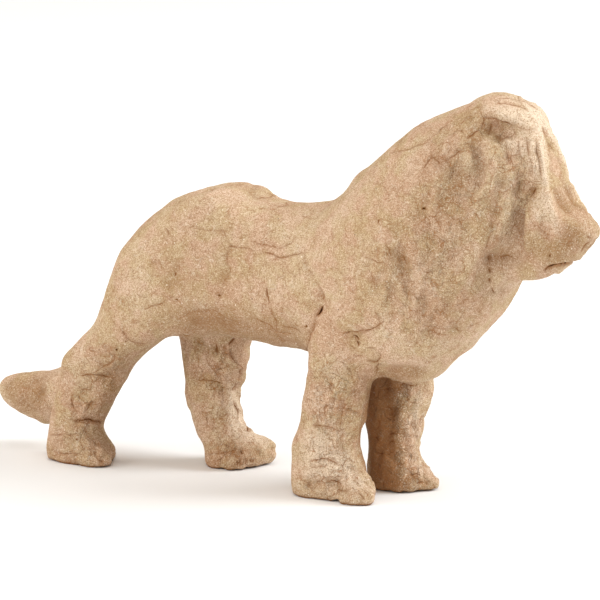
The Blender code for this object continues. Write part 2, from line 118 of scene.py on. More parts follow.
# Relief seen in the photograph, by name. Each stroke is its kind, height in mm (less than 0 is
# pressed in), half width in mm, how dark it is, and its path in pixels of the photograph.
# A "fold" stands proud on the left of its path, as the edge of a paper strip does.
# "twinShift" is how far forward, in metres, the same strokes lie on the hidden side.
relief = {
    "face": {
        "twinShift": 0.0,
        "browFurrow": ("hollow", -0.32, 0.9, 0.6, [
            (542, 127), (546, 135), (549, 145), (551, 156), (552.5, 170), (552, 180)]),
        "browTear": ("crease", -0.15, 0.4, 0.65, [(541.5, 126.5), (545, 131), (547.5, 136)]),
        "browTearLow": ("crease", -0.15, 0.4, 0.5, [(547.5, 141), (549, 148), (551, 156)]),
        "browBar": ("crease", -0.15, 0.4, 0.4, [(528, 133), (536.7, 131.7)]),
        "noseHollow": ("hollow", -0.9, 1.9, 0.7, [(556, 187), (560, 196), (565, 205), (571, 213)]),
        "underEye": ("ridge", 0.8, 1.4, -0.55, [
            (545, 188), (547, 200), (550, 210), (554, 219), (557, 229), (555, 240)]),
        "eyeHollow": ("hollow", -0.65, 0.85, 0.6, [(538.5, 183), (535, 188), (531, 194), (527.5, 202)]),
        "eyeLine": ("crease", -0.3, 0.5, 1.15, [
            (537, 185), (534.5, 189), (531.5, 193.5), (528.5, 199)]),
        "eyeSpot": ("hollow", -0.25, 0.7, 0.45, [(536.7, 178), (537, 180)]),
        "eyeLid": ("ridge", 0.45, 0.8, -0.35, [(531, 183), (526, 189), (524, 196)]),
        "outerEye": ("crease", -0.25, 0.4, 0.6, [(526, 181), (521, 188), (519, 196)]),
        "outerFold": ("crease", -0.2, 0.4, 0.45, [(516, 199), (514, 206), (510, 214)]),
        "cheekEdge": ("fold", 1.0, 2.6, 0.75, [
            (529.5, 199), (526.5, 205), (525.2, 215), (524.6, 228), (524.6, 240), (525.5, 252)]),
        "cheekHollow": ("hollow", -0.9, 1.4, 0.45, [(521, 205), (520.5, 218), (519, 232)]),
        "cheekFold": ("crease", -0.25, 0.4, 0.5, [(513, 226), (518, 231), (522, 238)]),
        "muzzlePlane": ("hollow", -0.35, 2.6, 0.3, [(567, 222), (570, 236), (564, 250)]),
        "cheekRidge": ("ridge", 0.45, 1.0, -0.35, [(534, 206), (538, 216), (543, 224)]),
        "cheekBag": ("crease", -0.25, 0.4, 0.45, [(536, 222), (541, 230), (548, 235), (556, 236)]),
        "snoutFold": ("crease", -0.25, 0.4, 0.5, [(566, 210), (574, 216), (583, 221)]),
        "snoutRidge": ("ridge", 0.15, 1.0, -0.3, [(575, 203), (584, 211), (590, 219)]),
        "mouth": ("slit", -0.55, 0.7, 1.7, [
            (544, 270.5), (549, 268), (554, 266.8), (562, 265.2), (569, 263.4), (575, 261)]),
        "mouthCorner": ("crease", -0.35, 0.6, 0.95, [(543.5, 272), (546.5, 269), (550, 267)]),
        "lowerLip": ("ridge", 0.35, 0.9, -0.2, [(549, 273.5), (557, 271), (567, 268), (576, 264)]),
        "upperLip": ("hollow", -0.22, 1.2, 0.15, [(543, 261), (558, 259), (572, 255)]),
        "noseWing": ("crease", -0.35, 0.75, 1.05, [(591, 238.5), (588, 243), (583.5, 249), (580, 254)]),
        "noseTip": ("ridge", 0.25, 0.8, -0.4, [(593, 233), (593, 238)]),
        "nearNostril": ("dot", -0.45, 0.38, 1.1, [(589, 235.7)]),
        "farNostril": ("dot", -0.45, 0.38, 1.1, [(597, 235.0)]),
        "mouthDot": ("dot", -0.2, 0.24, 1.0, [(550, 256.0)]),
        "muzzleDot": ("dot", -0.2, 0.22, 0.9, [(564.2, 236)]),
        "chinDot": ("dot", -0.2, 0.24, 0.8, [(533, 277)]),
        "browDot": ("dot", -0.2, 0.22, 0.8, [(549.5, 157)]),
        "lipBreak": ("crease", -0.2, 0.4, 0.55, [(525, 258), (531, 254), (534, 249)]),
    },
    "mane": {
        "twinShift": 0.0,
        "crownRim": ("ridge", 0.68, 1.3, -0.28, [
            (480, 107), (491, 111), (503, 116), (513, 120), (521, 122)]),
        "underRim": ("hollow", -1.3, 2.0, 0.4, [
            (486, 121), (494, 126), (503, 129), (512, 130), (520, 131)]),
        "underRimDeep": ("crease", -0.46, 0.5, 1.09, [
            (482.5, 116.5), (489, 117.5), (495, 120), (503, 122.5), (511, 125.5)]),
        "underRimWall": ("hollow", -0.57, 1.5, 0.35, [(493, 137), (500, 139), (507, 139)]),
        "rimBreak": ("crease", -0.34, 0.5, 0.8, [(488, 121), (490, 127), (488.5, 133)]),
        "crownArc": ("crease", -0.14, 0.5, 0.52, [
            (497, 99.5), (507, 97.5), (518, 98.5), (528, 102), (534, 107)]),
        "crownArcLow": ("crease", -0.14, 0.5, 0.69, [
            (494, 104.5), (504, 102.5), (514, 103.2), (524, 107), (531, 113)]),
        "crownGroove": ("hollow", -0.17, 1.1, 0.45, [(500, 105), (512, 103), (523, 106), (530, 112)]),
        "napeLine": ("crease", -0.14, 0.5, 0.4, [(449, 126), (460, 116), (472, 109), (484, 103.5)]),
        "napeLineLow": ("crease", -0.14, 0.5, 0.46, [(455, 126), (466, 117), (476, 111), (486, 108)]),
        "napeGroove": ("hollow", -0.34, 1.2, 0.15, [(462, 125), (472, 117), (482, 111)]),
        "hairLine": ("crease", -0.34, 0.5, 1.03, [(464, 138.5), (471, 136), (476, 132), (481, 128)]),
        "hairLineUp": ("crease", -0.29, 0.5, 0.69, [(481, 128), (485, 121), (482, 114)]),
        "hairLoop": ("crease", -0.17, 0.4, 0.52, [
            (456, 132.5), (459, 129.5), (462, 131), (463.5, 134)]),
        "upperArc": ("crease", -0.21, 0.5, 0.52, [
            (390, 153), (399, 151.5), (407, 150), (417, 146), (427, 141.7), (436, 135), (443, 128),
            (449, 121)]),
        "upperArcTwig": ("crease", -0.14, 0.4, 0.4, [(441, 131), (446, 134), (452, 133)]),
        "earFront": ("crease", -0.32, 0.5, 0.69, [
            (423.5, 172), (426, 165), (429.5, 159.5), (434, 157), (437.5, 161), (440.5, 164),
            (445.5, 163.5)]),
        "earTop": ("crease", -0.25, 0.5, 0.75, [
            (446, 161), (450, 157.5), (455, 154.5), (461, 151.5), (466, 147.5)]),
        "earBack": ("crease", -0.21, 0.4, 0.4, [(434, 157), (432, 152), (437, 146), (446, 142)]),
        "earHollow": ("hollow", -0.65, 2.3, 0.35, [
            (446, 160), (453, 166), (458, 173), (459, 183), (455, 193)]),
        "earHollowUp": ("hollow", -0.65, 1.6, 0.38, [
            (469, 138), (475, 147), (479, 157), (481, 168), (477, 179)]),
        "earHollowLow": ("hollow", -0.4, 1.6, 0.25, [(484, 160), (484, 170), (480, 182), (474, 192)]),
        "earRidge": ("ridge", 0.92, 0.9, -0.5, [(468.5, 147), (469, 156), (467.5, 164), (464, 172)]),
        "earLobe": ("ridge", 0.4, 2.2, -0.05, [(437, 172), (440, 182), (444, 195)]),
        "earRidgeFar": ("ridge", 0.34, 1.4, 0.0, [(451, 190), (463, 191), (475, 187)]),
        "lowEarHollow": ("hollow", -0.4, 2.0, 0.3, [(447, 190), (450, 198), (452, 206)]),
        "lockTop": ("ridge", 0.8, 1.4, -0.25, [
            (486, 139), (487, 152), (489, 164), (490, 176), (487, 188), (481, 199)]),
        "lockTurn": ("ridge", 0.52, 1.7, -0.15, [(481, 199), (474, 206), (467, 213), (463, 222)]),
        "lockLow": ("ridge", 0.69, 1.8, -0.15, [
            (482, 222), (480, 234), (477, 247), (471, 261), (463, 277), (452, 291)]),
        "lockFront": ("ridge", 0.52, 1.4, -0.25, [
            (504, 172), (509, 184), (507, 197), (508, 210), (500, 224), (498, 238)]),
        "lockThread": ("crease", -0.14, 0.4, 0.46, [(497, 208), (492, 222), (487, 238), (485, 252)]),
        "lockSplit": ("hollow", -0.48, 1.5, 0.35, [
            (496, 156), (500, 165), (497, 178), (499, 190), (494, 204), (492, 214)]),
        "lockSpot": ("hollow", -0.46, 1.0, 0.45, [(504, 150), (507, 157), (506, 164)]),
        "lockSpotLow": ("hollow", -0.4, 1.0, 0.45, [(506, 176), (503, 184), (500, 190)]),
        "rimLine": ("crease", -0.18, 0.5, 0.42, [(513, 125), (521, 128), (529, 130), (538, 130)]),
        "pleatGapA": ("crease", -0.25, 0.45, 0.5, [(506, 140), (508, 152), (508.5, 164)]),
        "pleatGapB": ("crease", -0.25, 0.45, 0.45, [(518.5, 138), (520.5, 152), (522, 166)]),
        "pleatGapC": ("crease", -0.25, 0.45, 0.5, [(526, 137), (528, 150), (530, 165), (532, 177)]),
        "pleatGapD": ("crease", -0.25, 0.45, 0.55, [(535, 137), (537, 152), (540, 170), (541.5, 181)]),
        "pleatA": ("ridge", 0.71, 0.75, -0.45, [(497, 141), (498, 151)]),
        "pleatB": ("ridge", 0.71, 0.75, -0.5, [(503, 138), (505, 148)]),
        "pleatC": ("ridge", 0.71, 0.75, -0.5, [(509, 137), (511, 149)]),
        "pleatD": ("ridge", 0.71, 0.75, -0.5, [(515, 136), (517, 151)]),
        "pleatE": ("ridge", 0.63, 0.8, -0.45, [(522, 139), (523, 156)]),
        "pleatF": ("ridge", 0.63, 0.8, -0.45, [(529, 141), (531, 160), (534, 176)]),
        "pleatG": ("ridge", 0.57, 0.8, -0.45, [(538, 138), (541, 158), (544, 178), (547, 190)]),
        "templeDip": ("hollow", -0.69, 1.4, 0.4, [(519, 164), (522, 176), (521, 188), (516, 198)]),
        "jawHollow": ("hollow", -0.62, 1.9, 0.14, [
            (486, 254), (494, 257), (504, 258.5), (514, 257.5), (526, 254)]),
        "jawLine": ("crease", -0.29, 0.5, 0.57, [(494, 254.5), (502, 258), (510, 257), (517, 260)]),
        "throatTop": ("slit", -0.45, 0.5, 1.05, [(489.8, 256), (490.2, 259), (491.6, 262.5)]),
        "throatTear": ("slit", -0.45, 0.5, 1.0, [(491.5, 267), (490.8, 270), (491.2, 273.5)]),
        "throatTearLow": ("slit", -0.45, 0.5, 1.0, [(490.2, 278), (489.6, 281), (490.4, 285)]),
        "throatTearEnd": ("crease", -0.4, 0.4, 0.9, [(491, 288.5), (492.5, 292), (495, 295)]),
        "throatBump": ("ridge", 0.52, 1.3, -0.15, [(497, 268), (502, 276), (503, 286)]),
        "throatDip": ("hollow", -0.46, 1.5, 0.25, [(508, 270), (506, 284), (502, 298)]),
        "throatBack": ("hollow", -0.46, 1.6, 0.2, [(483, 262), (482, 276), (484, 292)]),
        "chestLineA": ("crease", -0.17, 0.4, 0.52, [(466, 327), (473, 325), (481, 321.5)]),
        "chestLineB": ("crease", -0.17, 0.4, 0.63, [(425, 331), (432, 332), (441, 332.8), (449, 334)]),
        "chestLineC": ("crease", -0.17, 0.4, 0.46, [(432, 328), (444, 326.5), (455, 329), (463, 332)]),
        "chestLineD": ("crease", -0.17, 0.4, 0.4, [(444, 353), (454, 348), (462, 341)]),
        "chestArc": ("crease", -0.14, 0.4, 0.4, [(419, 345), (424, 339), (431, 337), (437, 341)]),
        "shoulderHollow": ("hollow", -0.98, 1.9, 0.45, [
            (398, 246), (400, 256), (405, 265), (404, 280)]),
        "shoulderTear": ("crease", -0.34, 0.5, 0.92, [(401, 254), (402.5, 259), (406, 264.5)]),
        "shoulderStreakA": ("hollow", -0.46, 1.0, 0.45, [(391, 276), (393, 290), (389, 306)]),
        "shoulderStreakB": ("hollow", -0.46, 1.0, 0.4, [(404, 281), (408, 292), (416, 300)]),
        "shoulderStreakC": ("hollow", -0.34, 1.0, 0.35, [(376, 275), (374, 288)]),
        "shoulderStreakD": ("hollow", -0.34, 1.0, 0.3, [(421, 288), (425, 303), (427, 318)]),
        "shoulderEdge": ("crease", -0.23, 0.4, 0.69, [(385, 244), (389, 250), (391.5, 258)]),
        "maneStreak": ("hollow", -0.4, 1.2, 0.35, [(457, 276), (453, 280), (447, 287)]),
        "manePlaneA": ("ridge", 0.34, 2.8, -0.05, [(412, 246), (416, 262), (413, 278)]),
        "manePlaneB": ("ridge", 0.4, 2.2, -0.05, [(432, 262), (440, 244), (446, 222)]),
        "manePlaneC": ("hollow", -0.4, 1.8, 0.25, [(425, 270), (434, 252), (439, 230)]),
        "maneThreadA": ("crease", -0.11, 0.4, 0.46, [(430, 214), (437, 222), (441, 231)]),
        "maneThreadB": ("crease", -0.11, 0.4, 0.4, [(444, 246), (452, 251), (463, 252)]),
        "maneThreadC": ("crease", -0.11, 0.4, 0.4, [(420, 268), (428, 272), (438, 270)]),
        "maneThreadD": ("crease", -0.11, 0.4, 0.46, [(402, 190), (411, 196), (417, 205), (418, 214)]),
        "neckDot": ("dot", -0.25, 0.28, 1.1, [(423.3, 209)]),
        "neckDotLow": ("dot", -0.25, 0.26, 1.1, [(408.7, 228)]),
        "neckDotSmall": ("dot", -0.2, 0.22, 0.9, [(422.5, 252.2)]),
        "chestDot": ("dot", -0.25, 0.3, 1.0, [(404.0, 341.2)]),
        "chestDotSmall": ("dot", -0.2, 0.22, 0.8, [(436.5, 332.5)]),
        "topDot": ("dot", -0.2, 0.24, 0.9, [(423.5, 125.8)]),
    },
    "flank": {
        "twinShift": 0.007,
        "netA": ("crease", -0.14, 0.5, 0.4, [
            (186, 228.5), (194, 227.5), (203, 229), (212, 230.5), (221, 230), (225.5, 234),
            (226.5, 240)]),
        "netB": ("crease", -0.22, 0.5, 0.55, [
            (226, 240.5), (230.5, 246), (238, 246.5), (247, 249), (256, 252)]),
        "netC": ("crease", -0.22, 0.5, 0.7, [
            (262, 251.5), (270, 254.5), (279, 256.8), (288, 256.5), (296, 254), (304, 252.2)]),
        "netD": ("crease", -0.16, 0.5, 0.5, [
            (250, 241), (261, 243.3), (271, 247), (280, 247.5), (289, 243), (298, 235)]),
        "netE": ("crease", -0.22, 0.5, 0.6, [
            (230, 247), (227.5, 254), (227.5, 262), (229, 271), (225.5, 278), (222.5, 286)]),
        "netF": ("crease", -0.15, 0.5, 0.45, [(222.5, 286), (219, 295), (218.8, 304)]),
        "netNode": ("hollow", -0.2, 0.6, 0.8, [(229.5, 244.5), (230.5, 246.5)]),
        "netFold": ("hollow", -0.3, 2.4, 0.1, [(229, 250), (229, 264), (225, 280)]),
        "haunchHollow": ("hollow", -0.42, 2.0, 0.35, [(181, 257), (179, 267), (174, 280), (170, 292)]),
        "haunchEdge": ("crease", -0.12, 0.4, 0.35, [(171, 278), (169, 288), (171, 297), (176, 303)]),
        "haunchTick": ("crease", -0.15, 0.4, 0.55, [(151.7, 275), (156, 276.5), (160.5, 276.3)]),
        "haunchRed": ("crease", -0.2, 0.5, 0.6, [(146, 310), (152, 306), (159, 304.5), (167, 300)]),
        "rumpSpot": ("crease", -0.2, 0.5, 0.65, [(165.5, 226), (168, 231), (170, 237)]),
        "rumpStrip": ("crease", -0.14, 0.5, 0.35, [
            (118, 273), (113, 290), (107, 305), (110, 318), (119, 327)]),
        "dorsalBand": ("hollow", -0.35, 1.1, 0.45, [
            (167, 207.5), (182, 199.5), (198, 193), (216, 187), (234, 184), (250, 186)]),
        "dorsalEdge": ("ridge", 0.35, 1.3, -0.3, [
            (178, 206), (193, 199), (208, 194.5), (230, 190.5), (247, 193)]),
        "dorsalRim": ("ridge", 0.12, 0.9, -0.25, [(160, 208), (176, 198.5), (190, 192)]),
        "saddleTear": ("crease", -0.2, 0.5, 0.75, [(256.5, 197.5), (262, 197), (269, 198), (274, 196)]),
        "saddleLine": ("crease", -0.12, 0.4, 0.4, [(262, 190), (270, 196), (279, 200)]),
        "sideNickA": ("crease", -0.14, 0.4, 0.4, [(283.7, 262), (282.8, 269), (284, 276)]),
        "sideNickB": ("crease", -0.14, 0.4, 0.35, [(298, 262), (300, 272), (303, 280)]),
        "sideNickC": ("crease", -0.14, 0.4, 0.4, [(250.5, 264), (248.5, 270), (247, 275)]),
        "bellyCrack": ("slit", -0.3, 0.4, 1.05, [
            (265.2, 284), (266.3, 290), (268.3, 297), (270.5, 305)]),
        "bellyCrackLow": ("crease", -0.2, 0.5, 0.65, [
            (270.5, 305), (272.5, 313), (275.5, 321), (279, 331)]),
        "bellyNetA": ("crease", -0.18, 0.5, 0.55, [
            (253, 318.5), (261, 321), (269, 324), (277, 331), (286, 332), (294, 334)]),
        "bellyNetB": ("crease", -0.16, 0.5, 0.45, [(280, 326), (288, 327.5), (297, 329), (304, 335)]),
        "bellyNetC": ("crease", -0.16, 0.5, 0.5, [(276, 332), (280, 337), (282, 342)]),
        "bellyEdge": ("crease", -0.12, 0.5, 0.35, [
            (176, 319), (186, 314.5), (198, 311.5), (211, 311), (222, 313)]),
        "bellyShade": ("hollow", -0.2, 3.2, 0.45, [(186, 322), (204, 319), (222, 322), (240, 328)]),
        "bellyTwig": ("crease", -0.12, 0.4, 0.4, [(215, 312), (223, 318), (231, 322), (243, 325)]),
        "seamTop": ("crease", -0.2, 0.5, 0.4, [(304, 246), (305, 258), (308.5, 270), (314, 280)]),
        "seamGroove": ("hollow", -0.38, 1.3, 0.12, [
            (306, 256), (312, 276), (321, 291), (322, 308), (313, 324), (308, 344)]),
        "seamMid": ("crease", -0.25, 0.5, 0.5, [(314, 280), (319, 288), (322.5, 295), (323, 304)]),
        "seamSlit": ("slit", -0.6, 0.4, 2.0, [
            (323, 305), (320.8, 310.5), (318.3, 314.8), (315.6, 319)]),
        "seamLow": ("crease", -0.25, 0.5, 0.65, [
            (315.6, 319), (312, 327), (309, 335), (307.3, 344), (307.8, 352)]),
        "seamSide": ("ridge", 0.3, 1.2, -0.25, [(316, 327), (312.5, 337), (311.5, 348)]),
        "shoulderNickA": ("crease", -0.16, 0.4, 0.5, [
            (361, 255), (368, 259.5), (378, 262.5), (386, 262)]),
        "shoulderNickB": ("crease", -0.16, 0.4, 0.4, [(370, 270), (371.5, 278), (374, 285)]),
        "shoulderNickC": ("crease", -0.14, 0.4, 0.4, [(331, 268), (339, 270), (346, 277)]),
        "shoulderNickD": ("crease", -0.14, 0.4, 0.35, [(352, 297), (361, 300), (366, 308)]),
        "hairNickA": ("crease", -0.12, 0.4, 0.4, [(356, 205), (362, 213), (364, 223)]),
        "hairNickB": ("crease", -0.12, 0.4, 0.35, [(374, 182), (384, 187), (390, 197)]),
        "backNick": ("crease", -0.12, 0.4, 0.35, [(300, 214), (311, 219), (321, 217)]),
        "haunchDot": ("dot", -0.25, 0.3, 1.1, [(173.8, 275)]),
        "rumpDot": ("dot", -0.25, 0.28, 1.1, [(165, 239.5)]),
        "netDot": ("dot", -0.25, 0.28, 0.9, [(219, 295)]),
        "backDot": ("dot", -0.2, 0.28, 1.0, [(265, 220.3)]),
        "midDot": ("dot", -0.2, 0.24, 0.9, [(252.3, 253.6)]),
        "sideDot": ("dot", -0.2, 0.22, 0.8, [(343.3, 298.8)]),
        "lowSideDot": ("dot", -0.2, 0.22, 0.8, [(365.8, 314.6)]),
        "withersDot": ("dot", -0.25, 0.28, 1.1, [(378, 221.5)]),
        "bellyDot": ("dot", -0.2, 0.26, 0.9, [(306, 326.5)]),
        "haunchDotLow": ("dot", -0.2, 0.24, 0.9, [(176.5, 300)]),
    },
    "nearForeleg": {
        "twinShift": 0.011,
        "topLine": ("crease", -0.34, 0.5, 0.85, [
            (341, 334.5), (349, 333.7), (357, 333.3), (367, 330.6), (377, 327), (386, 322)]),
        "topDip": ("hollow", -0.61, 1.4, 0.3, [(343, 337), (356, 337), (368, 334)]),
        "topTearA": ("slit", -0.47, 0.4, 1.25, [(350, 337), (354, 338.3), (358, 340.3)]),
        "topTearB": ("slit", -0.47, 0.4, 1.2, [(354, 341), (357.5, 343), (358.5, 347)]),
        "loopUp": ("fold", 0.34, 1.4, 0.78, [
            (366, 349), (374, 348.3), (380.5, 351.5), (382.5, 356.5), (379, 361), (372, 361.6),
            (365, 360)]),
        "loopLow": ("crease", -0.41, 0.4, 0.78, [(379, 362), (376, 370), (376, 377)]),
        "loopDot": ("dot", -0.25, 0.28, 1.0, [(379.3, 366)]),
        "loopTwig": ("crease", -0.2, 0.4, 0.52, [(352, 359), (358, 355), (365, 355)]),
        "shinTop": ("crease", -0.27, 0.4, 0.65, [(326, 399), (333, 399), (340, 401), (346, 401)]),
        "shinFront": ("crease", -0.35, 0.45, 0.75, [
            (347, 400.5), (344, 406), (342.5, 413), (341.5, 421), (340.5, 429)]),
        "shinFrontHollow": ("hollow", -0.54, 1.2, 0.25, [(343, 405), (341, 420), (339, 434)]),
        "shinBack": ("crease", -0.27, 0.4, 0.52, [(326, 400), (324, 408), (325, 417), (329, 424)]),
        "shinLow": ("crease", -0.34, 0.5, 0.78, [
            (311.5, 426), (319, 427), (327, 429), (334, 431), (341, 431)]),
        "shinStrip": ("fold", 0.3, 1.6, 0.39, [(341, 434), (341, 446), (343, 456)]),
        "shinPlate": ("ridge", 0.41, 2.0, -0.2, [(315, 434), (314, 446)]),
        "shinEdge": ("ridge", 0.47, 1.1, -0.2, [(357, 394), (359, 410), (358, 428), (357, 446)]),
        "shinNickA": ("crease", -0.22, 0.4, 0.59, [(349, 411), (355, 413), (360, 411)]),
        "shinNickB": ("crease", -0.22, 0.4, 0.52, [(333, 381), (331, 389), (334, 396)]),
        "shinNickC": ("crease", -0.22, 0.4, 0.45, [(345, 365), (352, 371), (354, 381)]),
        "heelHollow": ("hollow", -0.61, 0.9, 0.6, [(298, 437), (297.5, 450)]),
        "ankleArc": ("crease", -0.41, 0.5, 0.78, [
            (308.5, 461), (315, 459.5), (322, 458.3), (328, 459.3), (334, 463), (340, 465)]),
        "ankleLine": ("crease", -0.27, 0.4, 0.52, [(311, 468), (320, 466), (331, 467)]),
        "ankleRidge": ("ridge", 0.41, 0.9, -0.3, [(324, 455), (331, 459), (338, 462)]),
        "pawEdge": ("ridge", 0.68, 1.6, -0.3, [
            (300, 476), (312, 473), (326, 474), (340, 475), (351, 481), (361, 489)]),
        "pawHollow": ("hollow", -0.68, 1.4, 0.4, [
            (298, 485), (308, 484), (321, 484), (333, 483), (345, 487), (353, 493)]),
        "pawTearA": ("crease", -0.41, 0.4, 1.04, [
            (325, 483.5), (331, 480.5), (337, 481), (342, 483.5)]),
        "pawTearB": ("crease", -0.41, 0.4, 0.85, [(333, 487), (339, 490), (346, 491.5)]),
        "pawSpot": ("hollow", -0.54, 0.8, 0.6, [(304, 484.5), (308, 486.5)]),
        "toeTearA": ("crease", -0.45, 0.4, 1.05, [
            (409.5, 473), (414, 475), (417, 474.2), (421, 476.5)]),
        "toeTearB": ("crease", -0.28, 0.4, 0.62, [(357, 489.5), (362, 494), (366, 500)]),
        "toeTearC": ("crease", -0.28, 0.4, 0.62, [(363, 488), (367, 493), (370, 499)]),
        "toeGapA": ("hollow", -0.81, 0.9, 0.25, [(352, 476), (357, 483), (361, 492)]),
        "toeGapB": ("hollow", -0.68, 0.9, 0.25, [(362, 473), (367, 481), (370, 490)]),
        "topDot": ("dot", -0.25, 0.3, 1.1, [(338, 352.8)]),
        "shinDot": ("dot", -0.25, 0.28, 1.1, [(320.5, 394.5)]),
        "shinDotSmall": ("dot", -0.2, 0.2, 0.9, [(323.5, 393.8)]),
        "ankleDot": ("dot", -0.2, 0.24, 0.9, [(339.8, 464.3)]),
        "plateDot": ("dot", -0.2, 0.22, 0.7, [(310, 447)]),
    },
    "farForeleg": {
        "twinShift": -0.011,
        "armTear": ("crease", -0.47, 0.5, 1.17, [(380.5, 390.3), (385, 390.8), (390.5, 390.2)]),
        "armHollow": ("hollow", -0.68, 2.2, 0.45, [(381, 378), (384, 388), (381, 400)]),
        "armArc": ("crease", -0.47, 0.5, 0.98, [(398, 389), (403, 386), (409, 384.5), (417, 384.3)]),
        "armDot": ("dot", -0.25, 0.28, 1.0, [(416.3, 384.3)]),
        "shinFork": ("ridge", 0.47, 0.6, -0.6, [
            (401.5, 421), (404, 428), (407.5, 429.5), (409.5, 423), (411, 412)]),
        "shinBump": ("ridge", 0.54, 0.8, -0.4, [(392.5, 438), (397, 436.2), (401, 436)]),
        "shinNotchA": ("crease", -0.54, 0.5, 1.17, [(388.5, 437), (393, 434.5), (397.5, 433.5)]),
        "shinNotchB": ("crease", -0.54, 0.5, 1.04, [(387, 445.5), (391, 443), (395, 440.5)]),
        "shinNotchC": ("crease", -0.54, 0.5, 1.04, [(387, 454.5), (391.5, 452), (395, 450.5)]),
        "shinInner": ("hollow", -0.61, 1.8, 0.45, [(389, 405), (390, 425), (391, 445), (393, 465)]),
        "shinEdge": ("ridge", 0.54, 1.3, -0.15, [(402, 438), (403, 455), (408, 470)]),
        "shinStripe": ("ridge", 0.41, 0.8, -0.3, [(418, 396), (416, 410), (414, 424)]),
        "shinNick": ("crease", -0.27, 0.4, 0.65, [(407, 395), (412, 402), (419, 404)]),
        "innerTearA": ("crease", -0.45, 0.5, 1.1, [(377, 417), (378.5, 424), (377.5, 431)]),
        "innerTearB": ("crease", -0.45, 0.5, 1.1, [(374, 452), (379, 454.5), (385, 453.5)]),
        "innerTearC": ("crease", -0.45, 0.5, 1.05, [(383, 407), (388, 411.5), (390, 418)]),
        "innerTearD": ("crease", -0.45, 0.5, 1.0, [(372, 436), (378, 440), (382, 446)]),
        "toeTearA": ("crease", -0.54, 0.4, 1.1, [(411, 475), (416, 477.5), (419, 474.5)]),
        "toeTearB": ("crease", -0.54, 0.4, 1.1, [(415, 484.5), (420.5, 483.5), (426, 485.5)]),
        "toeTearC": ("crease", -0.41, 0.4, 0.85, [(430, 484), (432.5, 487.5), (433, 491)]),
        "toeGapA": ("hollow", -0.68, 0.9, 0.3, [(409, 471), (413, 480), (414, 488)]),
        "toeGapB": ("hollow", -0.68, 0.9, 0.3, [(421, 470), (425, 480), (426, 488)]),
    },
    "nearHindLeg": {
        "twinShift": 0.037,
        "thighLine": ("crease", -0.3, 0.5, 0.72, [
            (120, 327), (124, 333), (131, 341), (139, 344.5), (149, 344)]),
        "kneeFold": ("fold", 0.41, 1.3, 0.59, [
            (115.5, 351), (114.5, 358), (108.5, 364), (98, 369), (89, 373)]),
        "kneeLine": ("crease", -0.47, 0.5, 0.91, [
            (78, 377), (86, 375), (94, 374.3), (102, 376.5), (110, 378.6), (118, 379.5)]),
        "kneeLow": ("hollow", -0.47, 1.2, 0.35, [(100, 382), (111, 384), (118, 386)]),
        "hockLeft": ("crease", -0.47, 0.5, 0.98, [(70, 393), (71, 401), (73, 408), (78, 413)]),
        "hockRidge": ("ridge", 0.61, 0.7, -0.45, [(79.5, 416), (83, 409.5), (87, 403), (91, 398)]),
        "hockRight": ("crease", -0.41, 0.5, 0.78, [(84, 412), (88, 406), (92, 400)]),
        "hockDot": ("hollow", -0.41, 0.6, 0.6, [(91.5, 402.5), (93, 404)]),
        "hockSeam": ("crease", -0.68, 0.6, 1.2, [
            (73, 422), (80, 421), (87, 420), (95, 420.8), (101.5, 421.8)]),
        "hockSeamLip": ("ridge", 0.47, 0.8, -0.2, [(76, 426), (88, 424.5), (101, 426)]),
        "hockTwig": ("crease", -0.27, 0.4, 0.59, [(84, 392), (79, 398), (77, 404)]),
        "pawFold": ("fold", 0.3, 1.3, 0.52, [(75, 436), (66, 434.5), (58, 435), (50, 437)]),
        "pawLine": ("crease", -0.27, 0.4, 0.59, [(52, 452), (62, 454), (74, 453), (84, 455)]),
        "toeGapA": ("hollow", -0.68, 1.0, 0.4, [(109, 446), (105.4, 455), (101, 463)]),
        "toeGapB": ("hollow", -0.68, 1.0, 0.35, [(98, 441), (95, 452), (92, 461)]),
        "toeTear": ("crease", -0.41, 0.4, 0.91, [(94, 456), (99, 460), (105, 463)]),
        "kneeDot": ("dot", -0.25, 0.32, 1.1, [(116.5, 349.3)]),
        "thighDot": ("dot", -0.25, 0.26, 1.0, [(125.4, 341.6)]),
        "pawDot": ("dot", -0.2, 0.28, 0.8, [(76.3, 439.6)]),
    },
    "farHindLeg": {
        "twinShift": -0.037,
        "bellyLine": ("slit", -0.54, 0.5, 1.25, [
            (178, 332.3), (185, 333.7), (192, 334.8), (199, 335.8), (205, 334.8), (210.5, 335.2)]),
        "thighHook": ("crease", -0.47, 0.5, 1.1, [
            (211, 335.5), (214.5, 341), (216, 348), (216.8, 356)]),
        "kneeHook": ("crease", -0.61, 0.6, 1.2, [
            (237.3, 332), (235.5, 338), (232, 342.5), (228, 345.8)]),
        "kneeHookLow": ("fold", 0.41, 1.2, 0.78, [
            (240, 367), (235, 362.5), (230.5, 355.5), (228.5, 348)]),
        "backNotch": ("hollow", -0.74, 0.8, 0.9, [(183, 345.5), (185, 348)]),
        "backShade": ("hollow", -0.34, 1.6, 0.45, [(184, 350), (187, 360)]),
        "kneeLine": ("crease", -0.34, 0.5, 0.85, [
            (194, 379), (203, 379.5), (212, 381.5), (224, 383.3)]),
        "shinHole": ("slit", -0.68, 0.6, 1.3, [(235.2, 382.5), (233.5, 386), (232.5, 389.5)]),
        "shinHoleRim": ("ridge", 0.47, 0.6, -0.5, [(229.5, 392), (230, 385), (233, 379.5), (238, 380)]),
        "shinRidgeA": ("ridge", 0.68, 1.0, -0.3, [
            (227, 376), (229, 392), (228, 406), (229, 420), (236, 434)]),
        "shinRidgeB": ("ridge", 0.47, 0.7, -0.3, [(234, 400), (237, 412), (241, 424)]),
        "shinCreaseA": ("crease", -0.41, 0.4, 0.78, [(232, 397), (233, 405), (237, 413), (238, 421)]),
        "shinCreaseB": ("crease", -0.41, 0.4, 0.65, [(236, 366), (237, 373), (234.5, 379)]),
